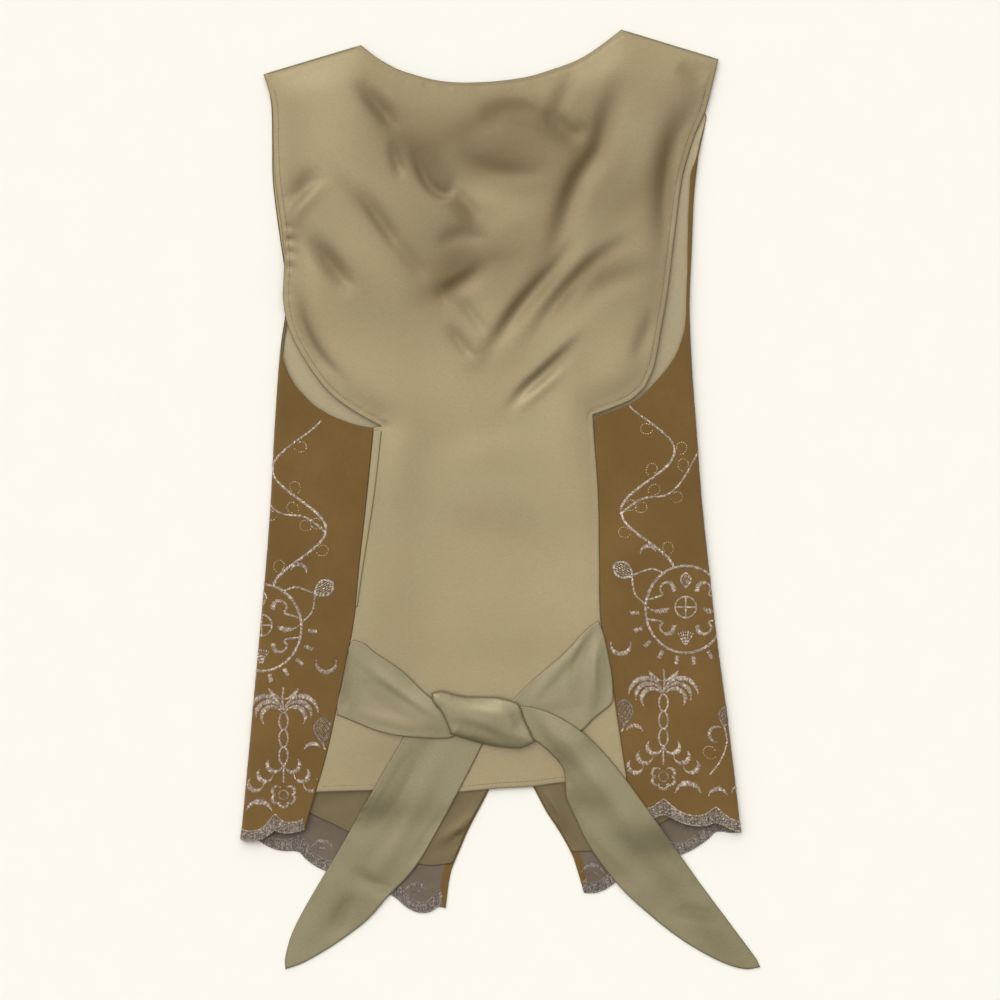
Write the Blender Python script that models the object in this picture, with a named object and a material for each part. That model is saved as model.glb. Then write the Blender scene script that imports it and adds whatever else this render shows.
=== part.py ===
"""Embroidered waistcoat, sleeveless, laid flat on its front with the back up.

Each front is one cloth panel that lies face down, turns round the side fold and comes
up to the side seam, with a satin lining inside it.  A satin back joins the two side
seams and the shoulders, and two waist ties sewn into the side seams cross in a half
knot on the back.  Tables and sizes are in millimetres; +Z is up, +Y is to the neck.
"""
import math

import bmesh
import bpy
import numpy as np
from mathutils import Vector
from mathutils.geometry import delaunay_2d_cdt

MM = 0.001

# Walls and clearances
CLOTH = 1.2            # embroidered front cloth
LINING = 1.0           # satin lining of the fronts
SATIN = 1.2            # back panel
TIE = 1.8              # a tie is a turned tube, two layers of satin
BAND = 2.6             # the tie where it wraps the knot
GAP = 0.3              # seam clearance between pieces
LINING_INSET = 1.0     # the lining stops this far inside armhole, seam and shoulder
TURNING = 1.5          # cloth turned in beside the lining at the centre edge and neck

# Side fold: the front turns on a half round whose height shrinks towards the shoulder
FOLD_HEIGHT_BODY = 8.5
FOLD_HEIGHT_SHOULDER = 6.0
FOLD_SHRINK_FROM = 150.0
FOLD_SHRINK_TO = 300.0
BEND = 12.0            # length of cloth counted for the half round
BEND_COLUMNS = 8

# Back panel: high at the side seams, sagged onto the fronts in the middle
BACK_SAG_HEIGHT = 3.2
SAG_STARTS = 98.0      # distance from the side fold
SAG_ENDS = 150.0
SHOULDER_SAG_FROM = 190.0
SHOULDER_SAG_TO = 340.0

# Embroidered scalloped hem
SCALLOP_DEPTH = 8.0
SEAM_ALONG = 80.0      # distance along the hem from the side fold to the side seam, nearly

# Mesh
HEM_STEP = 6.0
EDGE_STEP = 16.0
FLAT_GRID = 60.0
BACK_GRID = 24.0
TIE_GRID = 11.0
BEND_ROWS = 26.0

# Side folds, outermost line of the garment: y, x of the left fold, x of the right fold
FOLDS = (
    (400, -221, 203),
    (360, -213, 194),
    (325, -212, 182),
    (290, -211, 176.5),
    (225, -201, 172.8),
    (170, -194.5, 171),
    (130, -198.5, 172.5),
    (60, -203.4, 177.5),
    (0, -206.5, 182),
    (-60, -211, 188.3),
    (-120, -216.5, 195),
    (-180, -222, 203),
    (-240, -227.5, 210.5),
    (-320, -235, 219.5),
)

# Side seams, where a front meets the back: y, left x, right x
SEAMS = (
    (70, -113, 83.8),
    (0, -120, 88.7),
    (-60, -126.6, 89.5),
    (-110, -131.6, 91),
    (-150, -139.5, 98.5),
    (-190, -147.5, 105),
    (-230, -156.5, 111),
    (-300, -178, 122),
)

# Tips of the hem's scallops: distance along the cloth from the side fold (minus is the
# face-down side), y.  Then the pitch of the scallops and one notch on the same measure.
LEFT_HEM = ((-200, -368), (-160, -371), (-134, -361), (-74, -333), (-30, -314), (0, -306),
            (30, -305), (55, -298), (80, -291))
RIGHT_HEM = ((-160, -354), (-120, -351), (-63, -326), (-30, -308), (0, -299), (30, -295),
             (60, -290), (110, -284))
LEFT_SCALLOPS = (43.0, 38.0)
RIGHT_SCALLOPS = (46.0, 29.0)

# Front edges from hem to shoulder, x and y: the cutaway, a straight centre edge, the V neck.
LEFT_CUTAWAY = ((-44.5, -335), (-30, -299), (-10, -260), (3.2, -226), (2.6, -205))
RIGHT_CUTAWAY = ((66, -321), (55, -300), (42, -280), (29, -256), (11, -226), (4.4, -205))
LEFT_NECKLINE = ((-3.4, 91), (-48, 165), (-95, 290), (-124, 407))
RIGHT_NECKLINE = ((-2.2, 91), (44, 175), (84, 290), (108, 421))
LEFT_HEM_START = (-49, -360)
RIGHT_HEM_START = (75.6, -349)

# Armhole of a front on the upper layer, from seam to fold, x and y
LEFT_UPPER_ARMHOLE = ((-113.6, 65.7), (-128.7, 68.4), (-147.6, 75), (-169, 88),
                      (-184.5, 105), (-191.5, 118))
RIGHT_UPPER_ARMHOLE = ((84.2, 75.4), (100.8, 81), (118.8, 88.4), (129.6, 97), (139.5, 107),
                       (150.8, 120.6), (159, 134), (165, 152), (167.3, 181), (168.3, 225),
                       (169.3, 262), (171.5, 295))

# Armhole across the bend: share of the half round from the face-down layer, y
LEFT_BEND_ARMHOLE = ((0.0, 193), (0.25, 172), (0.5, 152), (0.75, 136), (1.0, 127))
RIGHT_BEND_ARMHOLE = ((0.0, 345), (0.25, 336), (0.5, 327), (0.75, 318), (1.0, 306))

# Armhole of a front on the lower layer, from fold to shoulder tip, x and y
LEFT_LOWER_ARMHOLE = ((-194.8, 215), (-200, 250), (-204.6, 291), (-205, 325), (-206, 358),
                      (-211, 382))
RIGHT_LOWER_ARMHOLE = ((184.5, 352), (189, 370), (195.2, 395.5))

# Back panel's free edges, x and y
LEFT_BACK_ARMHOLE = ((-112.6, 66), (-106, 66.8), (-128.7, 79.2), (-153, 97.2), (-172, 121.5),
                     (-184, 142.2), (-191, 160), (-194.6, 181), (-193.6, 217), (-197.5, 255),
                     (-202.5, 291.6), (-204, 330), (-205.2, 358), (-212.4, 383.4))
RIGHT_BACK_ARMHOLE = ((83.6, 77.2), (100.8, 83.4), (118.8, 91.4), (129.6, 101.2), (137.7, 118.8),
                      (145, 155), (150.8, 190), (157, 240), (164, 290), (175, 328),
                      (184.5, 350), (196.2, 396.9))
NECK = ((108.9, 423.5), (90, 409), (70.2, 396.5), (46, 387.5), (22.5, 380.7), (-18, 376.2),
        (-54.9, 377.6), (-92.7, 388.3), (-110, 398), (-125.1, 409.5))
BACK_HEM = ((-163, -261), (-113.4, -259.7), (-37, -261.5), (-2, -258.3), (28.8, -256.5),
            (56.7, -253), (113, -250))

# Satin tuck beside the left side seam: y, width
TUCK = ((63, 7.4), (14, 6.8), (-53, 3.9), (-95, 1.6))

# Waist ties, outlines clockwise, x and y
LEFT_ROOT = ((-131.4, -124.2), (-111.6, -135.9), (-86.9, -153), (-65.7, -173.3), (-50, -184),
             (-36, -197), (-33, -206), (-44.1, -212.4), (-79.2, -211.5), (-107.1, -207),
             (-135, -196.2), (-146.2, -191.7), (-141, -162), (-136.4, -140.4))
LEFT_TAIL = ((-76.5, -192.6), (-40, -194), (-9, -201.6), (-17.1, -221.4), (-36.9, -260.1),
             (-70.2, -320.4), (-83.7, -338.4), (-99.9, -354.6), (-119.7, -377.1),
             (-143.1, -395.1), (-162.9, -407.7), (-180, -416.7), (-193, -421.2),
             (-193.5, -413.1), (-188.1, -391.5), (-176.4, -367.2), (-143.1, -310.5),
             (-109.8, -252), (-87.3, -213.3))
RIGHT_ROOT = ((88.4, -107.1), (55.8, -137.7), (27.9, -162), (11.7, -178.2), (0, -193),
              (13, -207), (45, -214), (75.2, -204.3), (83.7, -195.3), (100.6, -180.9),
              (101.5, -172.8), (99.8, -153), (92.9, -118.8))
RIGHT_TAIL = ((2, -188), (18.9, -183.6), (42.3, -189), (67.5, -202.5), (88.2, -220.5),
              (110.7, -246.6), (145.8, -295.2), (180, -343.8), (214.2, -389.7),
              (231.3, -413.1), (234, -419.4), (223.2, -421.2), (206.1, -417.6),
              (180, -405), (153.9, -387.9), (128.7, -367.2), (109.8, -349.2),
              (93.6, -329.4), (78.3, -306.9), (68.4, -286.2), (59.4, -265.5),
              (57, -241.2), (45, -225.9), (31.5, -215.1), (9, -208))
BAND_OUTLINE = ((-61.2, -171.9), (-33.3, -174.6), (0.9, -176.4), (15.3, -180.9),
                (18.9, -185.4), (21.6, -194.4), (27.9, -207.9), (31.5, -216),
                (18.9, -221.4), (-9, -219.2), (-33.3, -212.4), (-44.1, -208.8),
                (-47.7, -198.9), (-53.1, -188.1))

# Height map for the ties
MAP_STEP = 3.0
MAP_HALF = (246.0, 438.0)
MAP_REACH = 12.0
MAP_SPARE = 6.0        # widened this much further than averaged, so no top is cut

# Finishes: base colour, roughness, sheen weight
FINISHES = {
    "embroidered_cloth": ((0.185, 0.103, 0.030), 0.85, 0.2),
    "satin": ((0.375, 0.305, 0.175), 0.42, 0.35),
    "lining_satin": ((0.340, 0.275, 0.160), 0.45, 0.35),
}


# ---- curves ----------------------------------------------------------------------

def smoothstep(start, end, value):
    """Return 0 before start, 1 after end and a soft step between."""
    share = min(1.0, max(0.0, (value - start) / (end - start)))
    return share * share * (3.0 - 2.0 * share)


def hermite(a, b, slope_a, slope_b, share):
    """Return the cubic between a and b with the given slopes."""
    square = share * share
    cube = square * share
    return ((2 * cube - 3 * square + 1) * a + (cube - 2 * square + share) * slope_a
            + (3 * square - 2 * cube) * b + (cube - square) * slope_b)


def read_table(table, column, at):
    """Read one column of a table of rows sorted by their first value, on a smooth curve."""
    rows = sorted(table)
    keys = [row[0] for row in rows]
    values = [row[column] for row in rows]
    index = int(np.clip(np.searchsorted(keys, at) - 1, 0, len(rows) - 2))
    span = keys[index + 1] - keys[index]
    slopes = np.gradient(values, keys)
    share = min(1.0, max(0.0, (at - keys[index]) / span))
    return float(hermite(values[index], values[index + 1], slopes[index] * span,
                         slopes[index + 1] * span, share))


def smooth_line(points, step=EDGE_STEP):
    """Return points along an open smooth curve through the given ones."""
    line = []
    last = len(points) - 1
    for index in range(last):
        start = np.array(points[index], float)
        end = np.array(points[index + 1], float)
        before = np.array(points[max(index - 1, 0)], float)
        after = np.array(points[min(index + 2, last)], float)
        length = np.linalg.norm(end - start)
        slope_a = (end - before) / max(1e-6, np.linalg.norm(end - before)) * length
        slope_b = (after - start) / max(1e-6, np.linalg.norm(after - start)) * length
        pieces = max(1, round(length / step))
        for piece in range(pieces):
            line.append(tuple(hermite(start, end, slope_a, slope_b, piece / pieces)))
    line.append(tuple(map(float, points[last])))
    return line


# ---- heights ---------------------------------------------------------------------

def fold_height(y):
    """Return how high the side fold stands at this level."""
    shrink = smoothstep(FOLD_SHRINK_FROM, FOLD_SHRINK_TO, y)
    return FOLD_HEIGHT_BODY + (FOLD_HEIGHT_SHOULDER - FOLD_HEIGHT_BODY) * shrink


def fold_x(side, y):
    """Return x of the left (-1) or right (1) side fold."""
    return read_table(FOLDS, 1 if side < 0 else 2, y)


def seam_x(side, y):
    """Return x of the left (-1) or right (1) side seam."""
    return read_table(SEAMS, 1 if side < 0 else 2, y)


def back_bottom(x, y):
    """Return the height of the back panel's underside."""
    inward = min(x - fold_x(-1, y), fold_x(1, y) - x)
    high = (1.0 - smoothstep(SAG_STARTS, SAG_ENDS, inward))
    high *= 1.0 - smoothstep(SHOULDER_SAG_FROM, SHOULDER_SAG_TO, y)
    side_height = FOLD_HEIGHT_BODY - SATIN
    return BACK_SAG_HEIGHT + (side_height - BACK_SAG_HEIGHT) * high


def wrap_point(side, along, y, offset):
    """Place a point of a folded front: along the cloth from the fold, offset outwards."""
    radius = (fold_height(y) - CLOTH) / 2
    middle = CLOTH / 2 + radius
    outer = radius + CLOTH / 2
    reach = radius + offset
    if along <= 0:
        inward, z = outer - along, middle - reach
    elif along < BEND:
        angle = math.pi * along / BEND
        inward, z = outer - reach * math.sin(angle), middle - reach * math.cos(angle)
    else:
        inward, z = outer + along - BEND, middle + reach
    return Vector((fold_x(side, y) - side * inward, y, z))


def along_lower(side, x, y):
    """Return the distance along the cloth of a point on the face-down layer."""
    outer = fold_height(y) / 2
    inward = side * (fold_x(side, y) - x)
    if inward >= outer:
        return outer - inward
    return BEND * math.asin(min(1.0, (outer - inward) / outer)) / math.pi


def along_upper(side, x, y):
    """Return the distance along the cloth of a point on the upper layer."""
    return BEND + side * (fold_x(side, y) - x) - fold_height(y) / 2


# ---- solids ----------------------------------------------------------------------

def closed_outline(points):
    """Drop points that lie on the one before them."""
    kept = []
    for point in points:
        if not kept or math.dist(point, kept[-1]) > 0.05:
            kept.append(point)
    if math.dist(kept[0], kept[-1]) <= 0.05:
        kept.pop()
    return kept


def is_inside(outline, x, y, margin=0.0):
    """Tell whether a point lies inside an outline and clear of its edge."""
    ring = np.asarray(outline)
    nxt = np.roll(ring, -1, axis=0)
    straddles = (ring[:, 1] > y) != (nxt[:, 1] > y)
    drop = np.where(nxt[:, 1] == ring[:, 1], 1.0, nxt[:, 1] - ring[:, 1])
    crossing = (nxt[:, 0] - ring[:, 0]) * (y - ring[:, 1]) / drop + ring[:, 0]
    if np.count_nonzero(straddles & (x < crossing)) % 2 == 0:
        return False
    edge = nxt - ring
    length = np.maximum(1e-9, (edge ** 2).sum(axis=1))
    share = np.clip(((x - ring[:, 0]) * edge[:, 0] + (y - ring[:, 1]) * edge[:, 1]) / length, 0, 1)
    near = np.hypot(ring[:, 0] + share * edge[:, 0] - x, ring[:, 1] + share * edge[:, 1] - y)
    return bool(near.min() >= margin)


def grid_points(outline, step):
    """Return grid points inside an outline, half a step clear of its edge."""
    ring = np.asarray(outline)
    low, high = ring.min(axis=0), ring.max(axis=0)
    points = []
    for row, y in enumerate(np.arange(low[1] + step / 2, high[1], step)):
        for x in np.arange(low[0] + (row % 2) * step / 2, high[0], step):
            if is_inside(outline, x, y, step * 0.45):
                points.append((float(x), float(y)))
    return points


def triangulate(outline, inner, chains):
    """Return points and triangles of a flat sheet; each chain of points stays joined."""
    points = [Vector(point) for point in (*outline, *inner)]
    count = len(outline)
    edges = [(index, (index + 1) % count) for index in range(count)]
    for chain in chains:
        first = len(points)
        points += [Vector(point) for point in chain]
        edges += [(index, index + 1) for index in range(first, len(points) - 1)]
    verts, _, faces, *_ = delaunay_2d_cdt(points, edges, [], 1, 1e-5)
    return verts, faces


def wall(outline, inner, outer_point, inner_point, chains=()):
    """Return a bmesh wall between two surfaces given as functions of the flat sheet."""
    flat, faces = triangulate(outline, inner, chains)
    mesh = bmesh.new()
    tops = [mesh.verts.new(outer_point(*point) * MM) for point in flat]
    bottoms = [mesh.verts.new(inner_point(*point) * MM) for point in flat]
    rims = {}
    for face in faces:
        mesh.faces.new([tops[index] for index in face])
        mesh.faces.new([bottoms[index] for index in reversed(face)])
        for start, end in zip(face, list(face[1:]) + [face[0]]):
            if rims.pop((end, start), None) is None:
                rims[(start, end)] = True
    for start, end in rims:
        mesh.faces.new((tops[end], tops[start], bottoms[start], bottoms[end]))
    if mesh.calc_volume(signed=True) < 0:
        bmesh.ops.reverse_faces(mesh, faces=mesh.faces)
    bmesh.ops.triangulate(mesh, faces=mesh.faces)
    return mesh


def add_object(name, mesh, finish):
    """Put a bmesh into the scene as a named object."""
    data = bpy.data.meshes.new(name)
    mesh.to_mesh(data)
    mesh.free()
    data.shade_smooth()
    data.set_sharp_from_angle(angle=math.radians(40))
    data.materials.append(finish)
    built = bpy.data.objects.new(name, data)
    bpy.context.scene.collection.objects.link(built)
    return built


def make_finish(name):
    """Make the Principled material of one cloth."""
    colour, roughness, sheen = FINISHES[name]
    material = bpy.data.materials.new(name)
    material.use_nodes = True
    shader = material.node_tree.nodes["Principled BSDF"]
    shader.inputs["Base Color"].default_value = (*colour, 1.0)
    shader.inputs["Roughness"].default_value = roughness
    shader.inputs["Metallic"].default_value = 0.0
    shader.inputs["Sheen Weight"].default_value = sheen
    return material


# ---- fronts and their linings ----------------------------------------------------

def hem_y(hem, scallops, along):
    """Return the scalloped hem's y at a distance along the cloth."""
    pitch, notch = scallops
    lobe = abs(math.sin(math.pi * (along - notch) / pitch)) ** 0.7
    return read_table(hem, 1, along) + SCALLOP_DEPTH * (1.0 - lobe)


def hem_stations(start, end):
    """Return distances along the cloth for the hem, with one on each bend column."""
    bend = [BEND * column / BEND_COLUMNS for column in range(BEND_COLUMNS + 1)]
    low = np.linspace(start, 0, max(2, round(-start / HEM_STEP)))[:-1]
    high = np.linspace(BEND, end, max(2, round((end - BEND) / HEM_STEP)))[1:]
    return [*map(float, low), *bend, *map(float, high)]


def centre_edge(side, cut):
    """Return a front's edge from hem to shoulder, in cloth measure."""
    line = smooth_line(cut["cutaway"]) + smooth_line(cut["neckline"], 24.0)
    return [(along_lower(side, x, y), y) for x, y in line]


def bend_columns(cut, drop=0.0):
    """Return the armhole's point on each column of the bend, from the lower layer up."""
    shares = [column / BEND_COLUMNS for column in range(BEND_COLUMNS + 1)]
    return [(share * BEND, read_table(cut["bend"], 1, share) - drop) for share in shares]


def seam_edge(side, bottom, top, inset=0.0):
    """Return points up a side seam between two levels, in cloth measure."""
    levels = np.linspace(bottom, top, round((top - bottom) / 24.0))[1:-1]
    return [(along_upper(side, seam_x(side, y), y) - inset, float(y)) for y in levels]


def move_left(points, distance):
    """Return an open line moved to its left."""
    ring = np.asarray(points)
    heading = np.gradient(ring, axis=0)
    heading /= np.linalg.norm(heading, axis=1)[:, None]
    moved = ring + distance * np.column_stack((-heading[:, 1], heading[:, 0]))
    return [tuple(map(float, point)) for point in moved]


def front_outline(side, cut):
    """Return a front's outline in cloth measure: along from the fold, and y."""
    hem = cut["hem"]
    start = along_lower(side, *cut["hem_start"])
    seam_bottom = read_table(hem, 1, SEAM_ALONG)
    end = along_upper(side, seam_x(side, seam_bottom), seam_bottom)
    outline = [(along, hem_y(hem, cut["scallops"], along)) for along in hem_stations(start, end)]
    outline += seam_edge(side, outline[-1][1], cut["upper"][0][1])
    outline += [(along_upper(side, x, y), y) for x, y in smooth_line(cut["upper"])]
    outline += reversed(bend_columns(cut))
    outline += [(along_lower(side, x, y), y) for x, y in smooth_line(cut["lower"])]
    outline += reversed(centre_edge(side, cut))
    return closed_outline(outline)


def lining_outline(side, cut):
    """Return the lining's outline: a front's, inset, with a plain hem above the scallops."""
    hem = cut["hem"]
    start = along_lower(side, *cut["lining_start"])
    seam_bottom = read_table(hem, 1, SEAM_ALONG) + cut["lining_hem"]
    end = along_upper(side, seam_x(side, seam_bottom), seam_bottom) - LINING_INSET
    outline = [(along, read_table(hem, 1, along) + cut["lining_hem"])
               for along in hem_stations(start, end)]
    outline += seam_edge(side, seam_bottom, cut["upper"][0][1] - LINING_INSET, LINING_INSET)
    upper = [(along_upper(side, x, y), y) for x, y in smooth_line(cut["upper"])]
    lower = [(along_lower(side, x, y), y) for x, y in smooth_line(cut["lower"])]
    outline += move_left(upper, LINING_INSET)
    outline += reversed(bend_columns(cut, LINING_INSET))
    outline += move_left(lower, LINING_INSET)
    turned = move_left(list(reversed(centre_edge(side, cut))), TURNING)
    outline += [point for point in turned if point[1] > outline[0][1] + TURNING]
    return closed_outline(outline)


def bend_chains(cut, drop, foot_at):
    """Return the columns of points that shape the half round, from hem to armhole."""
    chains = []
    for along, top in bend_columns(cut, drop):
        foot = foot_at(along)
        rows = max(2, round((top - foot) / BEND_ROWS))
        chains.append([(along, float(y)) for y in np.linspace(foot, top, rows)])
    return chains


def flat_points(outline):
    """Return a coarse grid of points on the two flat layers."""
    return [point for point in grid_points(outline, FLAT_GRID)
            if not -12.0 < point[0] < BEND + 12.0]


def build_front(side, cut, finish):
    """Build one front and return its outline."""
    outline = front_outline(side, cut)
    chains = bend_chains(cut, 0.0,
                         lambda along: hem_y(cut["hem"], cut["scallops"], along))
    mesh = wall(outline, flat_points(outline),
                lambda along, y: wrap_point(side, along, y, CLOTH / 2),
                lambda along, y: wrap_point(side, along, y, -CLOTH / 2), chains)
    add_object("front_" + cut["name"], mesh, finish)
    return outline


def build_lining(side, cut, finish):
    """Build one front's lining and return its outline."""
    outline = lining_outline(side, cut)
    chains = bend_chains(cut, LINING_INSET,
                         lambda along: read_table(cut["hem"], 1, along) + cut["lining_hem"])
    skin = CLOTH / 2 + GAP
    mesh = wall(outline, flat_points(outline),
                lambda along, y: wrap_point(side, along, y, -skin),
                lambda along, y: wrap_point(side, along, y, -skin - LINING), chains)
    add_object("lining_" + cut["name"], mesh, finish)
    return outline


# ---- back and ties ---------------------------------------------------------------

def back_outline():
    """Return the back panel's outline, anticlockwise from its lower left corner."""
    outline = smooth_line(BACK_HEM, 24.0)
    outline[0] = (seam_x(-1, outline[0][1]) + GAP, outline[0][1])
    outline[-1] = (seam_x(1, outline[-1][1]) - GAP, outline[-1][1])
    right_top = RIGHT_BACK_ARMHOLE[0][1]
    for y in np.linspace(outline[-1][1], right_top, 15)[1:-1]:
        outline.append((seam_x(1, y) - GAP, float(y)))
    outline += [(x - GAP, y) for x, y in smooth_line(RIGHT_BACK_ARMHOLE[:4], 10.0)]
    outline += smooth_line(RIGHT_BACK_ARMHOLE[3:])
    outline += smooth_line(NECK, 14.0)
    outline += reversed(smooth_line(LEFT_BACK_ARMHOLE[1:]))
    left_top = LEFT_BACK_ARMHOLE[0][1]
    for y in np.linspace(left_top, BACK_HEM[0][1], 15)[:-1]:
        outline.append((seam_x(-1, y) + GAP, float(y)))
    return closed_outline(outline)


def tuck_outline():
    """Return the tuck's outline beside the left side seam."""
    levels = np.linspace(TUCK[0][0], TUCK[-1][0], 12)
    inner = [(seam_x(-1, y) + GAP, float(y)) for y in levels]
    outer = [(seam_x(-1, y) + GAP + read_table(TUCK, 1, y), float(y)) for y in levels]
    return closed_outline(inner + outer[::-1])


def build_laid(name, outline, grid, bottom, thickness, finish):
    """Build a sheet whose underside follows a height function."""
    mesh = wall(outline, grid_points(outline, grid),
                lambda x, y: Vector((x, y, bottom(x, y) + thickness)),
                lambda x, y: Vector((x, y, bottom(x, y))))
    return add_object(name, mesh, finish)


def closed_curve(points):
    """Return a smooth closed outline through the given points."""
    count = len(points)
    line = []
    for index in range(count):
        four = [points[(index + shift) % count] for shift in (-1, 0, 1, 2)]
        start, end = np.array(four[1], float), np.array(four[2], float)
        length = np.linalg.norm(end - start)
        slope_a = end - np.array(four[0], float)
        slope_b = np.array(four[3], float) - start
        slope_a *= length / max(1e-6, np.linalg.norm(slope_a))
        slope_b *= length / max(1e-6, np.linalg.norm(slope_b))
        pieces = max(1, round(length / TIE_GRID))
        for piece in range(pieces):
            line.append(tuple(map(float, hermite(start, end, slope_a, slope_b, piece / pieces))))
    return closed_outline(line)


class HeightMap:
    """The tops of the pieces laid so far, softened so that cloth can be laid on them."""

    def __init__(self):
        """Start with the bare surface that the garment lies on."""
        self.xs = np.arange(-MAP_HALF[0], MAP_HALF[0] + 1, MAP_STEP)
        self.ys = np.arange(-MAP_HALF[1], MAP_HALF[1] + 1, MAP_STEP)
        self.tops = np.zeros((len(self.ys), len(self.xs)))
        self.soft = self.tops

    def add(self, outline, top):
        """Raise the map to a piece's top inside its outline."""
        ring = np.asarray(outline)
        low, high = ring.min(axis=0) - MAP_STEP, ring.max(axis=0) + MAP_STEP
        for row in np.flatnonzero((self.ys > low[1]) & (self.ys < high[1])):
            for column in np.flatnonzero((self.xs > low[0]) & (self.xs < high[0])):
                x, y = self.xs[column], self.ys[row]
                if is_inside(outline, x, y):
                    self.tops[row, column] = max(self.tops[row, column], top(x, y))
        self.soften()

    def soften(self):
        """Widen each top by the reach and then average over the same reach."""
        wide = np.max(self.shifted(self.tops, MAP_REACH + MAP_SPARE), axis=0)
        self.soft = np.mean(self.shifted(wide, MAP_REACH), axis=0)

    def shifted(self, heights, reach):
        """Return copies of the heights moved to every grid step within reach."""
        steps = int(reach / MAP_STEP)
        span = range(-steps, steps + 1)
        moves = [(row, column) for row in span for column in span
                 if math.hypot(row, column) <= steps + 0.2]
        return [np.roll(heights, move, (0, 1)) for move in moves]

    def rest(self, x, y):
        """Return the height at which a piece laid here rests."""
        column = float(np.clip((x - self.xs[0]) / MAP_STEP, 0, len(self.xs) - 1.001))
        row = float(np.clip((y - self.ys[0]) / MAP_STEP, 0, len(self.ys) - 1.001))
        c, r = int(column), int(row)
        a, b = column - c, row - r
        below = self.soft[r, c] * (1 - a) + self.soft[r, c + 1] * a
        above = self.soft[r + 1, c] * (1 - a) + self.soft[r + 1, c + 1] * a
        level = float(below * (1 - b) + above * b)
        return level + GAP if level > 0.01 else 0.0


def flat_outline(side, outline, upper):
    """Return the part of a folded outline on one layer, in x and y."""
    keep = [(along, y) for along, y in outline if (along >= BEND / 2) == upper]
    return [tuple(wrap_point(side, along, y, CLOTH / 2)[:2]) for along, y in keep]


def clear_scene():
    """Remove whatever objects the scene starts with."""
    for thing in list(bpy.context.scene.objects):
        bpy.data.objects.remove(thing, do_unlink=True)


def build_waistcoat():
    """Build every piece, from the surface upwards."""
    cloth = make_finish("embroidered_cloth")
    satin = make_finish("satin")
    lining_satin = make_finish("lining_satin")
    cuts = {
        # lining_hem is how far above the scallop tips the lining stops
        -1: {"name": "left", "hem": LEFT_HEM, "scallops": LEFT_SCALLOPS,
             "cutaway": LEFT_CUTAWAY, "neckline": LEFT_NECKLINE,
             "hem_start": LEFT_HEM_START, "lining_start": (-42.3, -325),
             "lining_hem": 44.0,
             "upper": LEFT_UPPER_ARMHOLE, "bend": LEFT_BEND_ARMHOLE, "lower": LEFT_LOWER_ARMHOLE},
        1: {"name": "right", "hem": RIGHT_HEM, "scallops": RIGHT_SCALLOPS,
            "cutaway": RIGHT_CUTAWAY, "neckline": RIGHT_NECKLINE,
            "hem_start": RIGHT_HEM_START, "lining_start": (64.6, -316),
            "lining_hem": 38.0,
            "upper": RIGHT_UPPER_ARMHOLE, "bend": RIGHT_BEND_ARMHOLE,
            "lower": RIGHT_LOWER_ARMHOLE},
    }
    heights = HeightMap()
    for side, cut in cuts.items():
        outline = build_front(side, cut, cloth)
        heights.add(flat_outline(side, outline, False), lambda x, y: CLOTH)
        heights.add(flat_outline(side, outline, True), lambda x, y: FOLD_HEIGHT_BODY)
        outline = build_lining(side, cut, lining_satin)
        heights.add(flat_outline(side, outline, False), lambda x, y: CLOTH + GAP + LINING)

    outline = back_outline()
    build_laid("back", outline, BACK_GRID, back_bottom, SATIN, satin)
    heights.add(outline, lambda x, y: back_bottom(x, y) + SATIN)
    build_laid("seam_tuck", tuck_outline(), TIE_GRID,
               lambda x, y: back_bottom(x, y) + SATIN + GAP, LINING, satin)

    layers = (
        ("tie_left_tail", LEFT_TAIL, TIE),
        ("tie_right_root", RIGHT_ROOT, TIE),
        ("tie_left_root", LEFT_ROOT, TIE),
        ("tie_right_tail", RIGHT_TAIL, TIE),
        ("tie_knot_band", BAND_OUTLINE, BAND),
    )
    for name, points, thickness in layers:
        outline = closed_curve(points)
        build_laid(name, outline, TIE_GRID, heights.rest, thickness, satin)
        rest = heights.rest
        tops = {"rest": rest, "thickness": thickness}
        heights.add(outline, lambda x, y, tops=tops: tops["rest"](x, y) + tops["thickness"])


clear_scene()
build_waistcoat()
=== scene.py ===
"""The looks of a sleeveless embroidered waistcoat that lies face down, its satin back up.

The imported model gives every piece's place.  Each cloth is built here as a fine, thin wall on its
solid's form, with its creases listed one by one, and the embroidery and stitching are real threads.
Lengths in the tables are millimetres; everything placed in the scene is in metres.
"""
import logging
import math
from collections.abc import Callable, Iterable, Sequence
from dataclasses import dataclass, field, replace
from enum import Enum

import bmesh
import bpy
import numpy as np
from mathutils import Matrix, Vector
from mathutils.bvhtree import BVHTree
from mathutils.geometry import delaunay_2d_cdt


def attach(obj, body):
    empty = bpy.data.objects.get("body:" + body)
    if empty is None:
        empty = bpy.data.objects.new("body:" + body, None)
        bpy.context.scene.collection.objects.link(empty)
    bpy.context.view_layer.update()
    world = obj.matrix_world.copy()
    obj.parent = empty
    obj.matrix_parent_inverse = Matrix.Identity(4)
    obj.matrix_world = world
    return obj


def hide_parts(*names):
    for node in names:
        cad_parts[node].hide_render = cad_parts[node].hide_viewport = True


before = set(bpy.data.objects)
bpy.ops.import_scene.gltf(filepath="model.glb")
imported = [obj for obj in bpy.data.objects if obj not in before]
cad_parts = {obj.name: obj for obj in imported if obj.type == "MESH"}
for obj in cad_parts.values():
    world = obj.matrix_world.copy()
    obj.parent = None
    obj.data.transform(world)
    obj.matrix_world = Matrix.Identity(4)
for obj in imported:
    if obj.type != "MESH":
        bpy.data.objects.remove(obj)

LOG = logging.getLogger("waistcoat")
MM = 0.001
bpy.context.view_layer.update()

Point = tuple[float, float]


class Side(Enum):
    """Which side of the garment a piece is on, as it is seen from above."""

    LEFT = -1
    RIGHT = 1


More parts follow.
